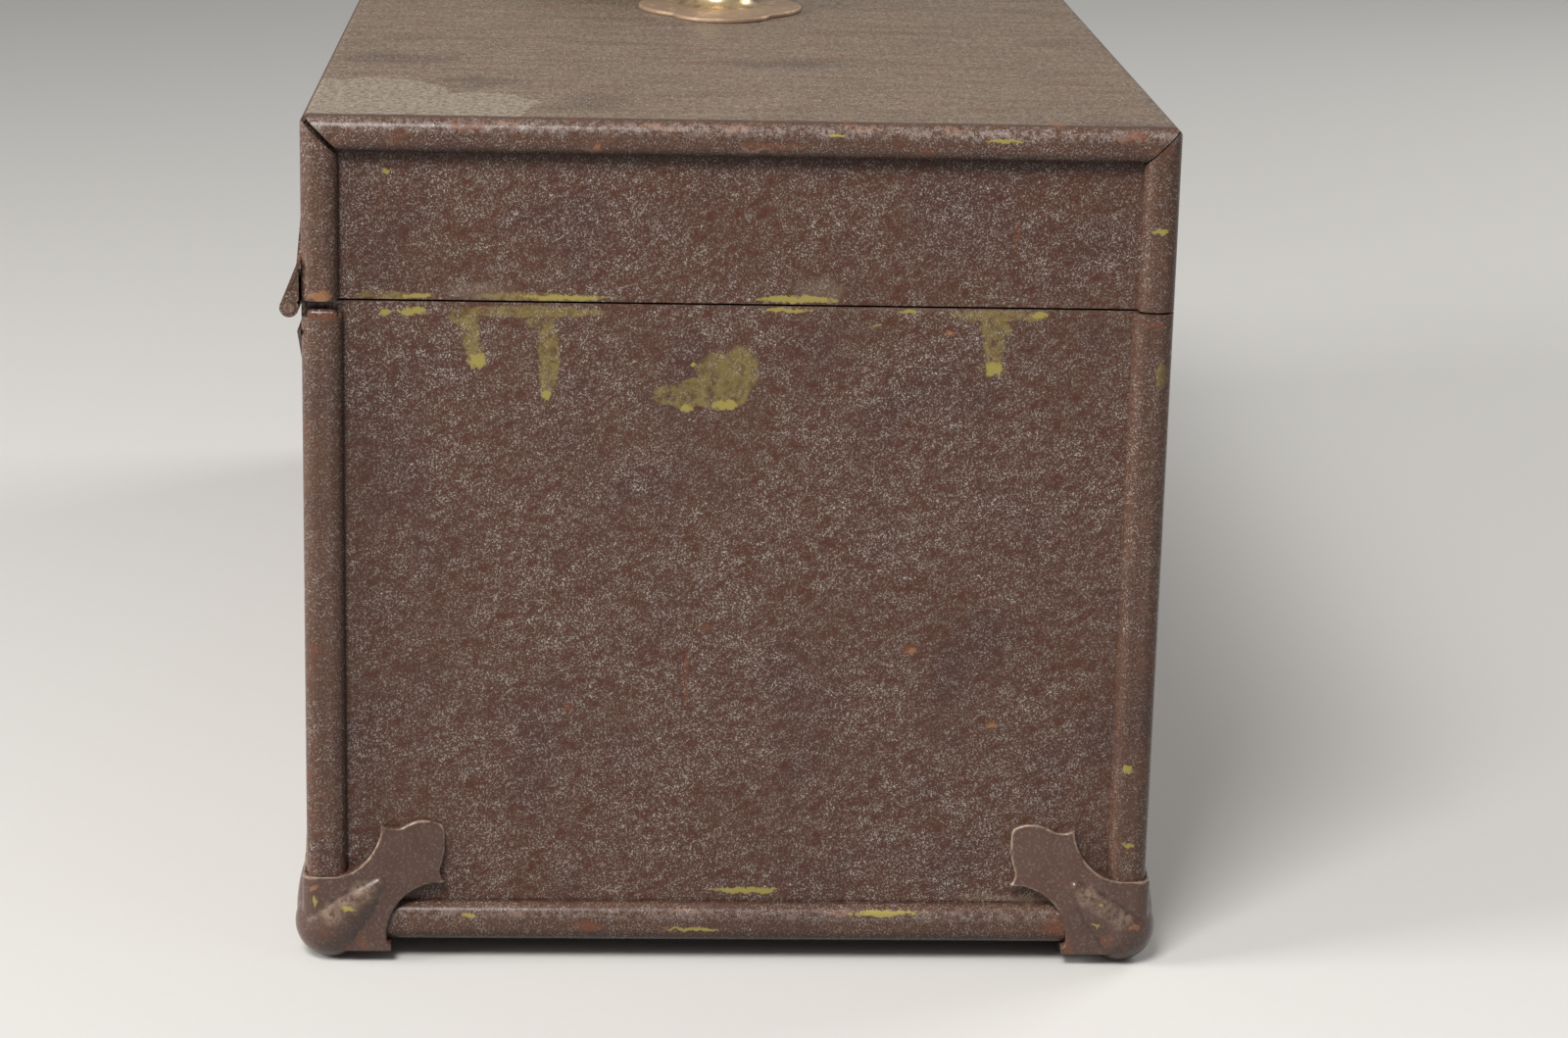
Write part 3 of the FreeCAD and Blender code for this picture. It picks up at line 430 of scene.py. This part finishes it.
def worn_lid_top(tree, look, mm, loose):
    """Colour of the lid's top: film rubbed thin along its width, damp stained and bleached in one place."""
    brushed = add(tree, "Mapping", {"Vector": mm, "Scale": (1, 0.22, 1)})
    swirl = add(tree, "TexNoise", {"Vector": mm, "Scale": 1 / 9.0, "Detail": 1.5}, "Color")
    swirl = add(tree, "VectorMath", (swirl, HALF), operation="SUBTRACT")
    wander = add(tree, "VectorMath", (swirl, (12.0, 12.0, 0.0), loose), operation="MULTIPLY_ADD")
    spill = add(tree, "VectorMath", (swirl, (8.0, 8.0, 0.0), mm), operation="MULTIPLY_ADD")
    pool = add(tree, "MapRange", (spots(tree, wander, LID_STAINS["stain"]), 1.3, 0.3, 0, 0.5), **EASED)
    bleached = add(tree, "MapRange", (spots(tree, spill, LID_STAINS["pale"]), 1.02, 0.96, 0, 0.7), **EASED)
    damp = clouds(tree, brushed, 9.0, low=0.48, high=0.72, detail=4.0, most=0.32)
    damp = add(tree, "Math", (damp, pool), operation="MAXIMUM")
    streak = clouds(tree, brushed, 2.6, low=0.3, high=0.75, detail=4.0, rough=0.65, most=0.5)
    blush = clouds(tree, brushed, 3.0, low=0.6, high=0.72, detail=3.0, most=0.45)
    grain = clouds(tree, mm, 1.3, low=0.42, high=0.6, detail=3.0, rough=0.75, most=0.6)
    # Painted highlight: pale specks of glint in the top's grain
    speck = clouds(tree, mm, 0.5, low=0.6, high=0.7, detail=1.0, most=0.32)
    coats = (
        (streak, look.grey_brown),
        (damp, look.stained_top),
        (blush, look.rust),
        (bleached, look.pale_patch),
        (grain, look.stained_top),
        (speck, look.painted_glint),
    )
    skin = look.worn_top
    for share, tone in coats:
        skin = add(tree, "Mix", {SHARE: share, GROUND: skin, COAT: tone}, MIXED, data_type="RGBA")
    return skin


def crinkled_enamel(name, look, stains, bead, seam, seam_shade_and_dirt, shoulder, dust_and_sheen, inside, top=None):
    """Stoved brown crinkle enamel on tinplate: a satin film with painted highlights, grey curls where its
    fine crests catch the light.

    Bead is the width of the rolled edge, seam the height where it meets the end panel, seam_shade_and_dirt
    how dark that line is painted, as shade with some grime, shoulder the height where dust and a painted
    sheen lie on the bead, dust_and_sheen how much, inside the heights between which the inner face lies, and
    top the height of a worn lid.
    Sizes and places are in millimetres.
    """
    material, tree, shader, mm = new_material(name)
    along, across, z = add(tree, "SeparateXYZ", (mm,)).node.outputs
    x = add(tree, "Math", (along,), operation="ABSOLUTE")
    y = add(tree, "Math", (across,), operation="ABSOLUTE")
    rise = (x, PANEL_FACE + 0.05, PANEL_FACE + 0.4)  # from the end panel up the bead
    on_bead = add(tree, "MapRange", rise, **EASED)

    # Painted highlight: grey glints on the crests of the crinkles, crowded into slanting drifts, faded in
    # broad clouds, and drawn as coarse as they need to show
    crinkle = look.crinkle / MM
    cloud = look.cloud / MM
    wave = {"Vector": mm, "Scale": 1 / crinkle, "Detail": 1.0, "Roughness": 0.5, "Distortion": 0.6}
    film = add(tree, "TexNoise", wave)
    drift = {"Vector": mm, "Rotation": (-0.45, 0, 0), "Scale": (1, 1.9, 1)}
    lean = add(tree, "Mapping", drift, vector_type="TEXTURE")
    crest = add(tree, "MapRange", (away(tree, film, 0.5), 0.05, 0.01), **EASED)
    lone = clouds(tree, mm, crinkle * 1.4, low=0.46, high=0.58, detail=1.0)
    crowd = clouds(tree, lean, look.patch / MM, low=0.22, high=0.74, detail=3.0, rough=0.6)
    wear = clouds(tree, mm, cloud * 1.4, low=0.35, high=0.6, detail=3.0, least=0.6)
    painted_glint = add(tree, "MapRange", (*rise, 0.98, 0.73), **EASED)
    for part in (crest, lone, crowd, wear):
        painted_glint = add(tree, "Math", (painted_glint, part), operation="MULTIPLY")

    # Clouds of colour, and painted shade with some grime where the beads meet the end panel: along the seam,
    # and beside the bead on the hinge side only
    greyed = add(tree, "MapRange", (*rise, 0, 0.7), **EASED)
    greyed = add(tree, "Math", (crowd, greyed), operation="MAXIMUM")
    gloom = clouds(tree, mm, cloud, low=0.46, high=0.74, detail=3.0, most=0.75)
    under = add(tree, "MapRange", (away(tree, z, seam), 0.9, 0.1, 0, seam_shade_and_dirt), **EASED)
    beside = add(tree, "MapRange", (away(tree, across, WALL - bead), 0.45, 0.05, 0, 0.65), **EASED)
    shade_and_dirt = add(tree, "Math", (under, beside), operation="MAXIMUM")
    for low, high in ((PANEL_FACE - 1.0, PANEL_FACE - 0.3), (PANEL_FACE + 1.4, PANEL_FACE + 0.6)):
        near = add(tree, "MapRange", (x, low, high), **EASED)
        shade_and_dirt = add(tree, "Math", (shade_and_dirt, near), operation="MULTIPLY")

    # Dust with a painted sheen on the beads' shoulders, in the glint colour
    dusty = clouds(tree, mm, 1.1, low=0.4, high=0.64, detail=4.0, rough=0.7)
    ledge = add(tree, "MapRange", (away(tree, z, shoulder), 1.6, 0.3, 0, dust_and_sheen), **EASED)
    for part in (ledge, on_bead):
        dusty = add(tree, "Math", (dusty, part), operation="MULTIPLY")

    # Marks with uneven outlines: the distances where each begins and is full, and its share
    warp = {"Vector": mm, "Scale": 1 / 2.2, "Detail": 4.0, "Roughness": 0.65}
    shake = add(tree, "VectorMath", (add(tree, "TexNoise", warp, "Color"), HALF), operation="SUBTRACT")
    loose = add(tree, "VectorMath", (shake, (3.6, 3.6, 3.6), mm), operation="MULTIPLY_ADD")
    edges = (
        ("rub", 1.2, 0.5, 0.3),
        ("rust", 1.05, 0.5, 0.5),
        ("bare", 1.05, 0.7, 0.7),
        ("scuff", 1.1, 0.5, 0.6),
    )
    marks = {}
    for kind, outer, inner, share in edges:
        reach = spots(tree, loose, stains[kind])
        marks[kind] = add(tree, "MapRange", (reach, outer, inner, 0, share), **EASED)

    # Rust in flakes along the folds and the rims of the beads
    fold = add(tree, "MapRange", (y, WALL - 1.6, WALL - 0.2, 0, 0.5), **EASED)
    leaf = add(tree, "MapRange", (y, WALL + 0.3, WALL + 0.1), **EASED)
    fold = add(tree, "Math", (fold, leaf), operation="MULTIPLY")
    rim = add(tree, "MapRange", (x, PANEL_FACE + 1.0, PANEL_FACE + 2.8, 0, 0.25), **EASED)
    flake = clouds(tree, mm, 5.0, low=0.54, high=0.7, detail=4.0, rough=0.65)
    rust = add(tree, "Math", (fold, rim), operation="MAXIMUM")
    rust = add(tree, "Math", (rust, flake), operation="MULTIPLY")
    rust = add(tree, "Math", (rust, marks["rust"]), operation="MAXIMUM")

    coats = [
        (greyed, look.grey_brown),
        (gloom, look.violet_brown),
        (painted_glint, look.painted_glint),
        (shade_and_dirt, look.grime_and_shade),
        (marks["rub"], look.worn_top),
        (dusty, look.painted_glint),
        (rust, look.rust),
        (marks["bare"], look.bare),
        (marks["scuff"], look.scuff),
    ]
    roughness = add(tree, "MapRange", (*rise, 0.3, 0.25), **EASED)
    roughness = add(tree, "Math", (rust, 0.25, roughness), operation="MULTIPLY_ADD")

    # Top of the lid, with a rusty fold at the ends
    if top:
        level = add(tree, "MapRange", (z, top - 0.5, top - 0.05), **EASED)
        flat = add(tree, "MapRange", (x, PANEL_FACE + 0.6, PANEL_FACE - 0.6), **EASED)
        level = add(tree, "Math", (level, flat), operation="MULTIPLY")
        burnt = {SHARE: flake, GROUND: look.stained_top, COAT: look.rust}
        burnt = add(tree, "Mix", burnt, MIXED, data_type="RGBA")
        crease = add(tree, "MapRange", (away(tree, x, PANEL_FACE + 0.6), 1.4, 0.4, 0, 0.7), **EASED)
        brow = add(tree, "MapRange", (z, top - 1.2, top - 0.6), **EASED)
        crease = add(tree, "Math", (crease, brow), operation="MULTIPLY")
        coats += [(crease, burnt), (level, worn_lid_top(tree, look, mm, loose))]
        roughness = add(tree, "Math", (level, 0.2, roughness), operation="MULTIPLY_ADD")

    # Paint: a thick, ragged core and a thin smear that the crests show through
    runny = add(tree, "VectorMath", (shake, (1.8, 1.8, 1.8), mm), operation="MULTIPLY_ADD")
    drips = spots(tree, runny, stains["paint"])
    ragged = add(tree, "TexNoise", {"Vector": mm, "Scale": 1 / 0.8, "Detail": 3.0, "Roughness": 0.7})
    ragged = add(tree, "Math", (ragged, 1.8, drips), operation="MULTIPLY_ADD")
    thick = add(tree, "MapRange", (ragged, 1.95, 1.6, 0, 0.92), **EASED)
    smear = add(tree, "MapRange", (spots(tree, runny, stains["smear"]), 1.08, 0.8), **EASED)
    thin = clouds(tree, mm, 1.8, low=0.25, high=0.62, detail=4.0, rough=0.65, most=0.4)
    thin = add(tree, "Math", (smear, thin), operation="MULTIPLY")
    paint = add(tree, "Math", (thick, thin), operation="MAXIMUM")

    # Smooth lacquer inside
    floor, ceiling = inside
    limits = (
        (x, PANEL_FACE - 0.3, PANEL_FACE - 0.4),
        (y, WALL - 0.3, WALL - 0.4),
        (z, floor - 0.05, floor + 0.05),
        (z, ceiling + 0.05, ceiling - 0.05),
    )
    within = 1.0
    for limit in limits:
        within = add(tree, "Math", (within, add(tree, "MapRange", limit, **EASED)), operation="MULTIPLY")
    stain = clouds(tree, mm, 18.0, low=0.4, high=0.7, detail=4.0)
    tin = {SHARE: stain, GROUND: look.lacquer, COAT: look.grey_brown}
    tin = add(tree, "Mix", tin, MIXED, data_type="RGBA")

    coats += [(paint, look.paint), (within, tin)]
    skin = look.red_brown
    for share, tone in coats:
        skin = add(tree, "Mix", {SHARE: share, GROUND: skin, COAT: tone}, MIXED, data_type="RGBA")
    height = add(tree, "Math", (paint, 0.6, film), operation="MULTIPLY_ADD")
    outside = add(tree, "MapRange", (within, 1.0, 0.6), **EASED)
    stretched = add(tree, "MapRange", (*rise, 1.0, 0.5), **EASED)
    for part in (outside, stretched):
        height = add(tree, "Math", (height, part), operation="MULTIPLY")
    bump = add(tree, "Bump", {"Strength": 0.6, "Distance": 0.035 * MM, "Height": height})
    surface = {"Base Color": skin, "Roughness": roughness, "Specular IOR Level": 0.3, "Normal": bump}
    connect(tree, shader, surface)
    return material


def cast_enamel(name, look, enamel):
    """Brown enamel on rough castings: satin with painted glints, pale on rubbed edges, with a painted
    highlight on the ribs, painted shade and grime in hollows, and rusty at the toes.
    """
    material, tree, shader, mm = new_material(name)
    z = add(tree, "SeparateXYZ", (mm,), "Z")
    relief = add(tree, "Attribute", out="Fac", attribute_name="relief")
    warp = add(tree, "TexNoise", {"Vector": mm, "Scale": 1 / 1.6, "Detail": 3.0}, "Color")
    shake = add(tree, "VectorMath", (warp, HALF), operation="SUBTRACT")
    loose = add(tree, "VectorMath", (shake, (2.4, 2.4, 2.4), mm), operation="MULTIPLY_ADD")
    each = add(tree, "VectorMath", (loose,), operation="ABSOLUTE")

    # Painted glints on fine crests, as on the sheets but fainter
    crinkle = enamel.crinkle / MM
    wave = {"Vector": mm, "Scale": 1 / crinkle, "Detail": 3.0, "Roughness": 0.6, "Distortion": 1.0}
    grain = add(tree, "TexNoise", wave)
    painted_fleck = add(tree, "MapRange", (away(tree, grain, 0.5), 0.05, 0.01, 0, 0.16), **EASED)
    lone = clouds(tree, mm, crinkle * 2.0, low=0.5, high=0.64)
    painted_fleck = add(tree, "Math", (painted_fleck, lone), operation="MULTIPLY")

    # Clouds, rust towards the toes, painted shade with some grime in the hollows, bare metal on the plates'
    # edges, and bare metal with a painted highlight on the ribs
    cloud = clouds(tree, mm, 5.0, low=0.35, high=0.7, detail=3.0, most=0.5)
    toe = add(tree, "MapRange", (z, 9.0, 1.5, 0.08, 0.68), **EASED)
    blotch = clouds(tree, mm, 2.5, low=0.5, high=0.64, detail=4.0)
    toe = add(tree, "Math", (toe, blotch), operation="MULTIPLY")
    hollow = add(tree, "MapRange", (relief, -0.12, -0.7, 0, 0.75), **EASED)
    rib = add(tree, "MapRange", (spots(tree, each, FOOT_STAINS["rib"]), 1.2, 0.4, 0, 0.9), **EASED)
    rubbed = clouds(tree, mm, 1.2, low=0.35, high=0.6, detail=4.0, rough=0.7)
    rib = add(tree, "Math", (rib, rubbed), operation="MULTIPLY")
    line = clouds(tree, mm, 2.0, low=0.3, high=0.6, detail=3.0)
    for limit in ((relief, 0.5, 1.0), (z, 8.0, 17.0)):
        line = add(tree, "Math", (line, add(tree, "MapRange", limit, **EASED)), operation="MULTIPLY")
    rust = add(tree, "MapRange", (spots(tree, loose, FOOT_STAINS["rust"]), 1.05, 0.7, 0, 0.6), **EASED)
    paint = add(tree, "MapRange", (spots(tree, loose, FOOT_STAINS["paint"]), 1.05, 0.7, 0, 0.9), **EASED)

    coats = (
        (cloud, enamel.violet_brown),
        (painted_fleck, enamel.painted_glint),
        (toe, enamel.rust),
        (hollow, enamel.grime_and_shade),
        (rib, look.casting_worn),
        (line, look.casting_worn),
        (rust, enamel.bare),
        (paint, enamel.paint),
    )
    skin = look.casting
    for share, tone in coats:
        skin = add(tree, "Mix", {SHARE: share, GROUND: skin, COAT: tone}, MIXED, data_type="RGBA")
    bump = add(tree, "Bump", {"Strength": 0.4, "Distance": 0.06 * MM, "Height": grain})
    surface = {"Base Color": skin, "Roughness": 0.25, "Specular IOR Level": 0.5, "Normal": bump}
    connect(tree, shader, surface)
    return material


def worn_metal(name, bright, dull, metallic, roughness, size, share):
    """Handled metal: a bright ground under a dull, patchy film, with fine rubbing marks.

    Size is that of the patches in millimetres, and the film covers less of the ground as share rises.
    """
    material, tree, shader, mm = new_material(name)
    film = clouds(tree, mm, size, low=share - 0.12, high=share + 0.14, detail=4.0, rough=0.65)
    speck = clouds(tree, mm, size * 0.2, low=0.58, high=0.68, most=0.6)
    cover = add(tree, "Math", (film, speck), operation="MAXIMUM")
    skin = add(tree, "Mix", {SHARE: cover, GROUND: bright, COAT: dull}, MIXED, data_type="RGBA")
    rough = add(tree, "Math", (cover, 0.2, roughness), operation="MULTIPLY_ADD")
    rub = add(tree, "TexNoise", {"Vector": mm, "Scale": 1 / 0.5, "Detail": 3.0, "Roughness": 0.7})
    bump = add(tree, "Bump", {"Strength": 0.25, "Distance": 0.08 * MM, "Height": rub})
    connect(tree, shader, {"Base Color": skin, "Metallic": metallic, "Roughness": rough, "Normal": bump})
    return material


def studio_paper(name, look):
    """Matt pale paper with faint fibres, which throws a darker light back on the box than the camera sees."""
    material, tree, shader, mm = new_material(name)
    fibre = add(tree, "TexNoise", {"Vector": mm, "Scale": 1 / 3.0, "Detail": 4.0, "Roughness": 0.55})
    shade = [channel * PAPER_SHADE for channel in look.floor]
    paper = add(tree, "Mix", {SHARE: fibre, GROUND: look.floor, COAT: shade}, MIXED, data_type="RGBA")
    rays = add(tree, "LightPath").node.outputs
    seen = rays["Is Camera Ray"]
    for ray in ("Is Glossy Ray", "Is Transmission Ray"):
        seen = add(tree, "Math", (seen, rays[ray]), operation="MAXIMUM")
    skin = add(tree, "Mix", {SHARE: seen, GROUND: look.bounce, COAT: paper}, MIXED, data_type="RGBA")
    connect(tree, shader, {"Base Color": skin, "Roughness": 0.85})
    return material


def finish_nodes(material, *nodes):
    """Gives CAD nodes their material."""
    for node in nodes:
        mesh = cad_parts[node].data
        mesh.materials.clear()
        mesh.materials.append(material)


def copied(name, node):
    """Copy of a node's mesh as a new piece, alone selected, with its triangles joined."""
    piece = bpy.data.objects.new(name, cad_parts[node].data.copy())
    bpy.context.collection.objects.link(piece)
    bpy.ops.object.select_all(action="DESELECT")
    piece.select_set(True)
    bpy.context.view_layer.objects.active = piece
    bpy.ops.mesh.customdata_custom_splitnormals_clear()
    bpy.ops.object.mode_set(mode="EDIT")
    bpy.ops.mesh.select_all(action="SELECT")
    bpy.ops.mesh.remove_doubles(threshold=0.002 * MM)
    bpy.ops.object.mode_set(mode="OBJECT")
    piece.data.materials.clear()
    return piece


def apply_modifier(piece, kind, **settings):
    """Adds a modifier with its settings and applies it."""
    modifier = piece.modifiers.new(kind.title(), kind)
    for key, value in settings.items():
        setattr(modifier, key, value)
    bpy.ops.object.modifier_apply(modifier=modifier.name)


def values(collection, key, width, kind):
    """Values of all points or edges, as rows of a width."""
    flat = np.empty(len(collection) * width, kind)
    collection.foreach_get(key, flat)
    return flat.reshape(-1, width)


def mark_relief(piece, reach):
    """Stores how far each point stands out of the points around it, from -1 in a hollow to 1 on an edge."""
    mesh = piece.data
    points = values(mesh.vertices, "co", 3, np.float32)
    normals = values(mesh.vertices, "normal", 3, np.float32)
    starts, ends = values(mesh.edges, "vertices", 2, np.int32).T
    count = np.bincount(np.concatenate((starts, ends)), minlength=len(points)).clip(1)[:, None]

    def around(rows):
        """Mean of each point's neighbours."""
        total = np.zeros_like(rows)
        np.add.at(total, starts, rows[ends])
        np.add.at(total, ends, rows[starts])
        return total / count

    middle = points
    for _ in range(5):
        middle = around(middle)
    proud = around(((points - middle) * normals).sum(1, keepdims=True))
    relief = np.clip(proud / reach, -1, 1).astype(np.float32)
    mesh.attributes.new("relief", "FLOAT", "POINT").data.foreach_set("value", relief.ravel())


class BOX_OT_enamel(bpy.types.Operator):
    """Enamel the folded sheets, the end panels and the hinge leaves"""

    bl_idname = "money_box.enamel"
    bl_label = "Enamel Sheets"

    def execute(self, context):
        look = context.scene.box_enamel
        body = crinkled_enamel(
            "crinkle_enamel_body",
            look,
            BODY_STAINS,
            bead=BEAD_BODY,
            seam=BODY_SEAM,
            seam_shade_and_dirt=0.3,
            shoulder=BODY_SEAM - 1.6,
            dust_and_sheen=0.1,
            inside=(BODY_FLOOR + SHEET / 2, LID_TOP),
        )
        lid = crinkled_enamel(
            "crinkle_enamel_lid",
            look,
            LID_STAINS,
            bead=BEAD_LID,
            seam=LID_SEAM,
            seam_shade_and_dirt=0.25,
            shoulder=LID_TOP - 1.5,
            dust_and_sheen=0.17,
            inside=(0.0, LID_TOP - SHEET / 2),
            top=LID_TOP,
        )
        finish_nodes(body, *BODY_NODES)
        finish_nodes(lid, *LID_NODES)
        return {"FINISHED"}


class BOX_OT_bead_ends(bpy.types.Operator):
    """Model the round tucked ends of the back beads, just under the seam"""

    bl_idname = "money_box.bead_ends"
    bl_label = "Bead Ends"

    def execute(self, context):
        look = context.scene.box_enamel
        material = bpy.data.materials["crinkle_enamel_body"]
        top = BODY_TOP - look.tuck_depth / MM
        bottom = top - look.tuck_height / MM
        low = Vector((PANEL_FACE + TUCK_GAP, WALL - BEAD_BODY + TUCK_INNER, bottom))
        high = Vector((PANEL_FACE + TUCK_REACH, WALL - TUCK_OUTER, top))
        middle = (low + high) / 2 * MM
        for end, side in (("left", -1), ("right", 1)):
            place = (side * middle.x, middle.y, middle.z)
            bpy.ops.object.select_all(action="DESELECT")
            bpy.ops.mesh.primitive_cube_add(size=1, location=place, scale=(high - low) * MM)
            bpy.ops.object.transform_apply(location=True, rotation=True, scale=True)
            piece = context.active_object
            piece.name = f"tucked_bead_{end}"
            apply_modifier(piece, "BEVEL", width=look.tuck_round, segments=6, limit_method="NONE")
            bpy.ops.object.shade_smooth()
            piece.data.materials.append(material)
            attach(piece, "box")
        return {"FINISHED"}


class BOX_OT_feet(bpy.types.Operator):
    """Model the four cast feet with soft edges"""

    bl_idname = "money_box.feet"
    bl_label = "Cast Feet"

    def execute(self, context):
        look = context.scene.box_metal
        material = cast_enamel("cast_enamel", look, context.scene.box_enamel)
        for end in ("left", "right"):
            for side in ("front", "back"):
                node = f"foot_{side}_{end}"
                piece = copied(f"cast_{node}", node)
                apply_modifier(piece, "REMESH", mode="VOXEL", voxel_size=look.voxel)
                apply_modifier(piece, "SMOOTH", factor=0.5, iterations=4)
                bpy.ops.object.shade_smooth()
                mark_relief(piece, look.relief)
                piece.data.materials.append(material)
                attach(piece, "box")
                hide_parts(node)
        return {"FINISHED"}


class BOX_OT_handle(bpy.types.Operator):
    """Finish the posts and the bail and model the plates with soft edges"""

    bl_idname = "money_box.handle"
    bl_label = "Drop Handle"

    def execute(self, context):
        look = context.scene.box_metal
        # Brass, bright where hands rub it; bronze under an even brown film; black enamel with small chips
        brass = worn_metal("worn_brass", look.brass, look.tarnish, 0.8, 0.3, size=5.0, share=0.56)
        bronze = worn_metal("browned_bronze", look.brass, look.bronze, 0.5, 0.36, size=3.0, share=0.34)
        dark = worn_metal("dark_enamel", look.bronze, look.bail, 0.0, 0.32, size=4.0, share=0.3)
        finish_nodes(brass, "handle_post_left", "handle_post_right")
        finish_nodes(dark, "handle_bail")
        sharp = {"limit_method": "ANGLE", "angle_limit": math.radians(40)}
        for side in ("left", "right"):
            node = f"handle_plate_{side}"
            piece = copied(f"browned_{node}", node)
            bpy.ops.object.mode_set(mode="EDIT")
            bpy.ops.mesh.select_all(action="SELECT")
            bpy.ops.mesh.dissolve_limited(angle_limit=math.radians(2))
            bpy.ops.object.mode_set(mode="OBJECT")
            apply_modifier(piece, "BEVEL", width=look.plate_round, segments=3, **sharp)
            bpy.ops.object.shade_smooth_by_angle(angle=math.radians(45))
            piece.data.materials.append(bronze)
            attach(piece, "lid")
            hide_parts(node)
        return {"FINISHED"}


class BOX_OT_lock(bpy.types.Operator):
    """Finish the lock, its staple, the washers and the hinge wire"""

    bl_idname = "money_box.lock"
    bl_label = "Lock and Hinge Wire"

    def execute(self, context):
        look = context.scene.box_metal
        enamel = context.scene.box_enamel
        # Dull grey steel with brown stains; wire browned like the castings; yellow brass, a little tarnished
        steel = worn_metal("dull_steel", look.steel, enamel.lacquer, 1.0, 0.38, size=4.0, share=0.58)
        wire = worn_metal("browned_wire", look.casting_worn, look.casting, 0.3, 0.4, size=1.0, share=0.45)
        bolt = worn_metal("lock_brass", look.lock_brass, look.tarnish, 1.0, 0.3, size=4.0, share=0.62)
        finish_nodes(steel, *STEEL_NODES)
        finish_nodes(wire, "hinge_pin")
        finish_nodes(bolt, "lock_bolt")
        return {"FINISHED"}


def lamp(name, place, size, watts):
    """Square soft lamp at a place in metres, aimed at the left half of the box."""
    data = bpy.data.lights.new(name, "AREA")
    data.energy = watts
    data.size = size
    light = bpy.data.objects.new(name, data)
    light.location = place
    light.rotation_mode = "QUATERNION"
    light.rotation_quaternion = (Vector(LAMP_AIM) - Vector(place)).to_track_quat("-Z", "Y")
    bpy.context.scene.collection.objects.link(light)


class BOX_OT_stage(bpy.types.Operator):
    """Lay a plain floor and set soft lamps and the camera"""

    bl_idname = "money_box.stage"
    bl_label = "Stage"

    def execute(self, context):
        scene = context.scene
        look = scene.box_stage
        bpy.ops.object.select_all(action="DESELECT")
        bpy.ops.mesh.primitive_plane_add(size=FLOOR_WIDTH, location=(0, 0, 0))
        floor = context.active_object
        floor.name = "floor"
        floor.data.materials.append(studio_paper("studio_paper", look))

        for name, (place, size) in LAMPS.items():
            lamp(name, place, size, getattr(look, f"{name}_power"))
        world = scene.world or bpy.data.worlds.new("studio")
        scene.world = world
        world.use_nodes = True
        sky = next(node for node in world.node_tree.nodes if node.type == "BACKGROUND")
        connect(world.node_tree, sky, {"Color": look.sky_tint, "Strength": look.sky})

        data = bpy.data.cameras.new("camera")
        data.lens = look.lens
        camera = bpy.data.objects.new("camera", data)
        level = math.cos(look.pitch)
        ahead = Vector((level * math.cos(look.yaw), level * math.sin(look.yaw), -math.sin(look.pitch)))
        camera.location = look.camera_place
        camera.rotation_mode = "QUATERNION"
        camera.rotation_quaternion = ahead.to_track_quat("-Z", "Y") @ Quaternion((0, 0, 1), look.roll)
        scene.collection.objects.link(camera)
        scene.camera = camera
        scene.view_settings.view_transform = "Standard"
        return {"FINISHED"}


class BOX_PT_panel(bpy.types.Panel):
    """Steps of the money box"""

    bl_idname = "BOX_PT_panel"
    bl_label = "Money Box"
    bl_space_type = "VIEW_3D"
    bl_region_type = "UI"
    bl_category = "Money Box"

    def draw(self, context):
        for operator in OPERATORS:
            self.layout.operator(operator.bl_idname)
        for group in (context.scene.box_enamel, context.scene.box_metal, context.scene.box_stage):
            column = self.layout.column()
            for name in group.bl_rna.properties.keys():
                if name not in ("rna_type", "name"):
                    column.prop(group, name)


OPERATORS = (BOX_OT_enamel, BOX_OT_bead_ends, BOX_OT_feet, BOX_OT_handle, BOX_OT_lock, BOX_OT_stage)
CLASSES = (EnamelLook, MetalLook, StageLook, *OPERATORS, BOX_PT_panel)


def register():
    """Adds the classes and the scene's settings."""
    for cls in CLASSES:
        bpy.utils.register_class(cls)
    bpy.types.Scene.box_enamel = PointerProperty(type=EnamelLook)
    bpy.types.Scene.box_metal = PointerProperty(type=MetalLook)
    bpy.types.Scene.box_stage = PointerProperty(type=StageLook)


def unregister():
    """Takes them away again."""
    for name in ("box_enamel", "box_metal", "box_stage"):
        delattr(bpy.types.Scene, name)
    for cls in reversed(CLASSES):
        bpy.utils.unregister_class(cls)


def main():
    """Builds the whole box."""
    register()
    bpy.ops.money_box.enamel()
    bpy.ops.money_box.bead_ends()
    bpy.ops.money_box.feet()
    bpy.ops.money_box.handle()
    bpy.ops.money_box.lock()
    bpy.ops.money_box.stage()


if __name__ == "__main__":
    main()
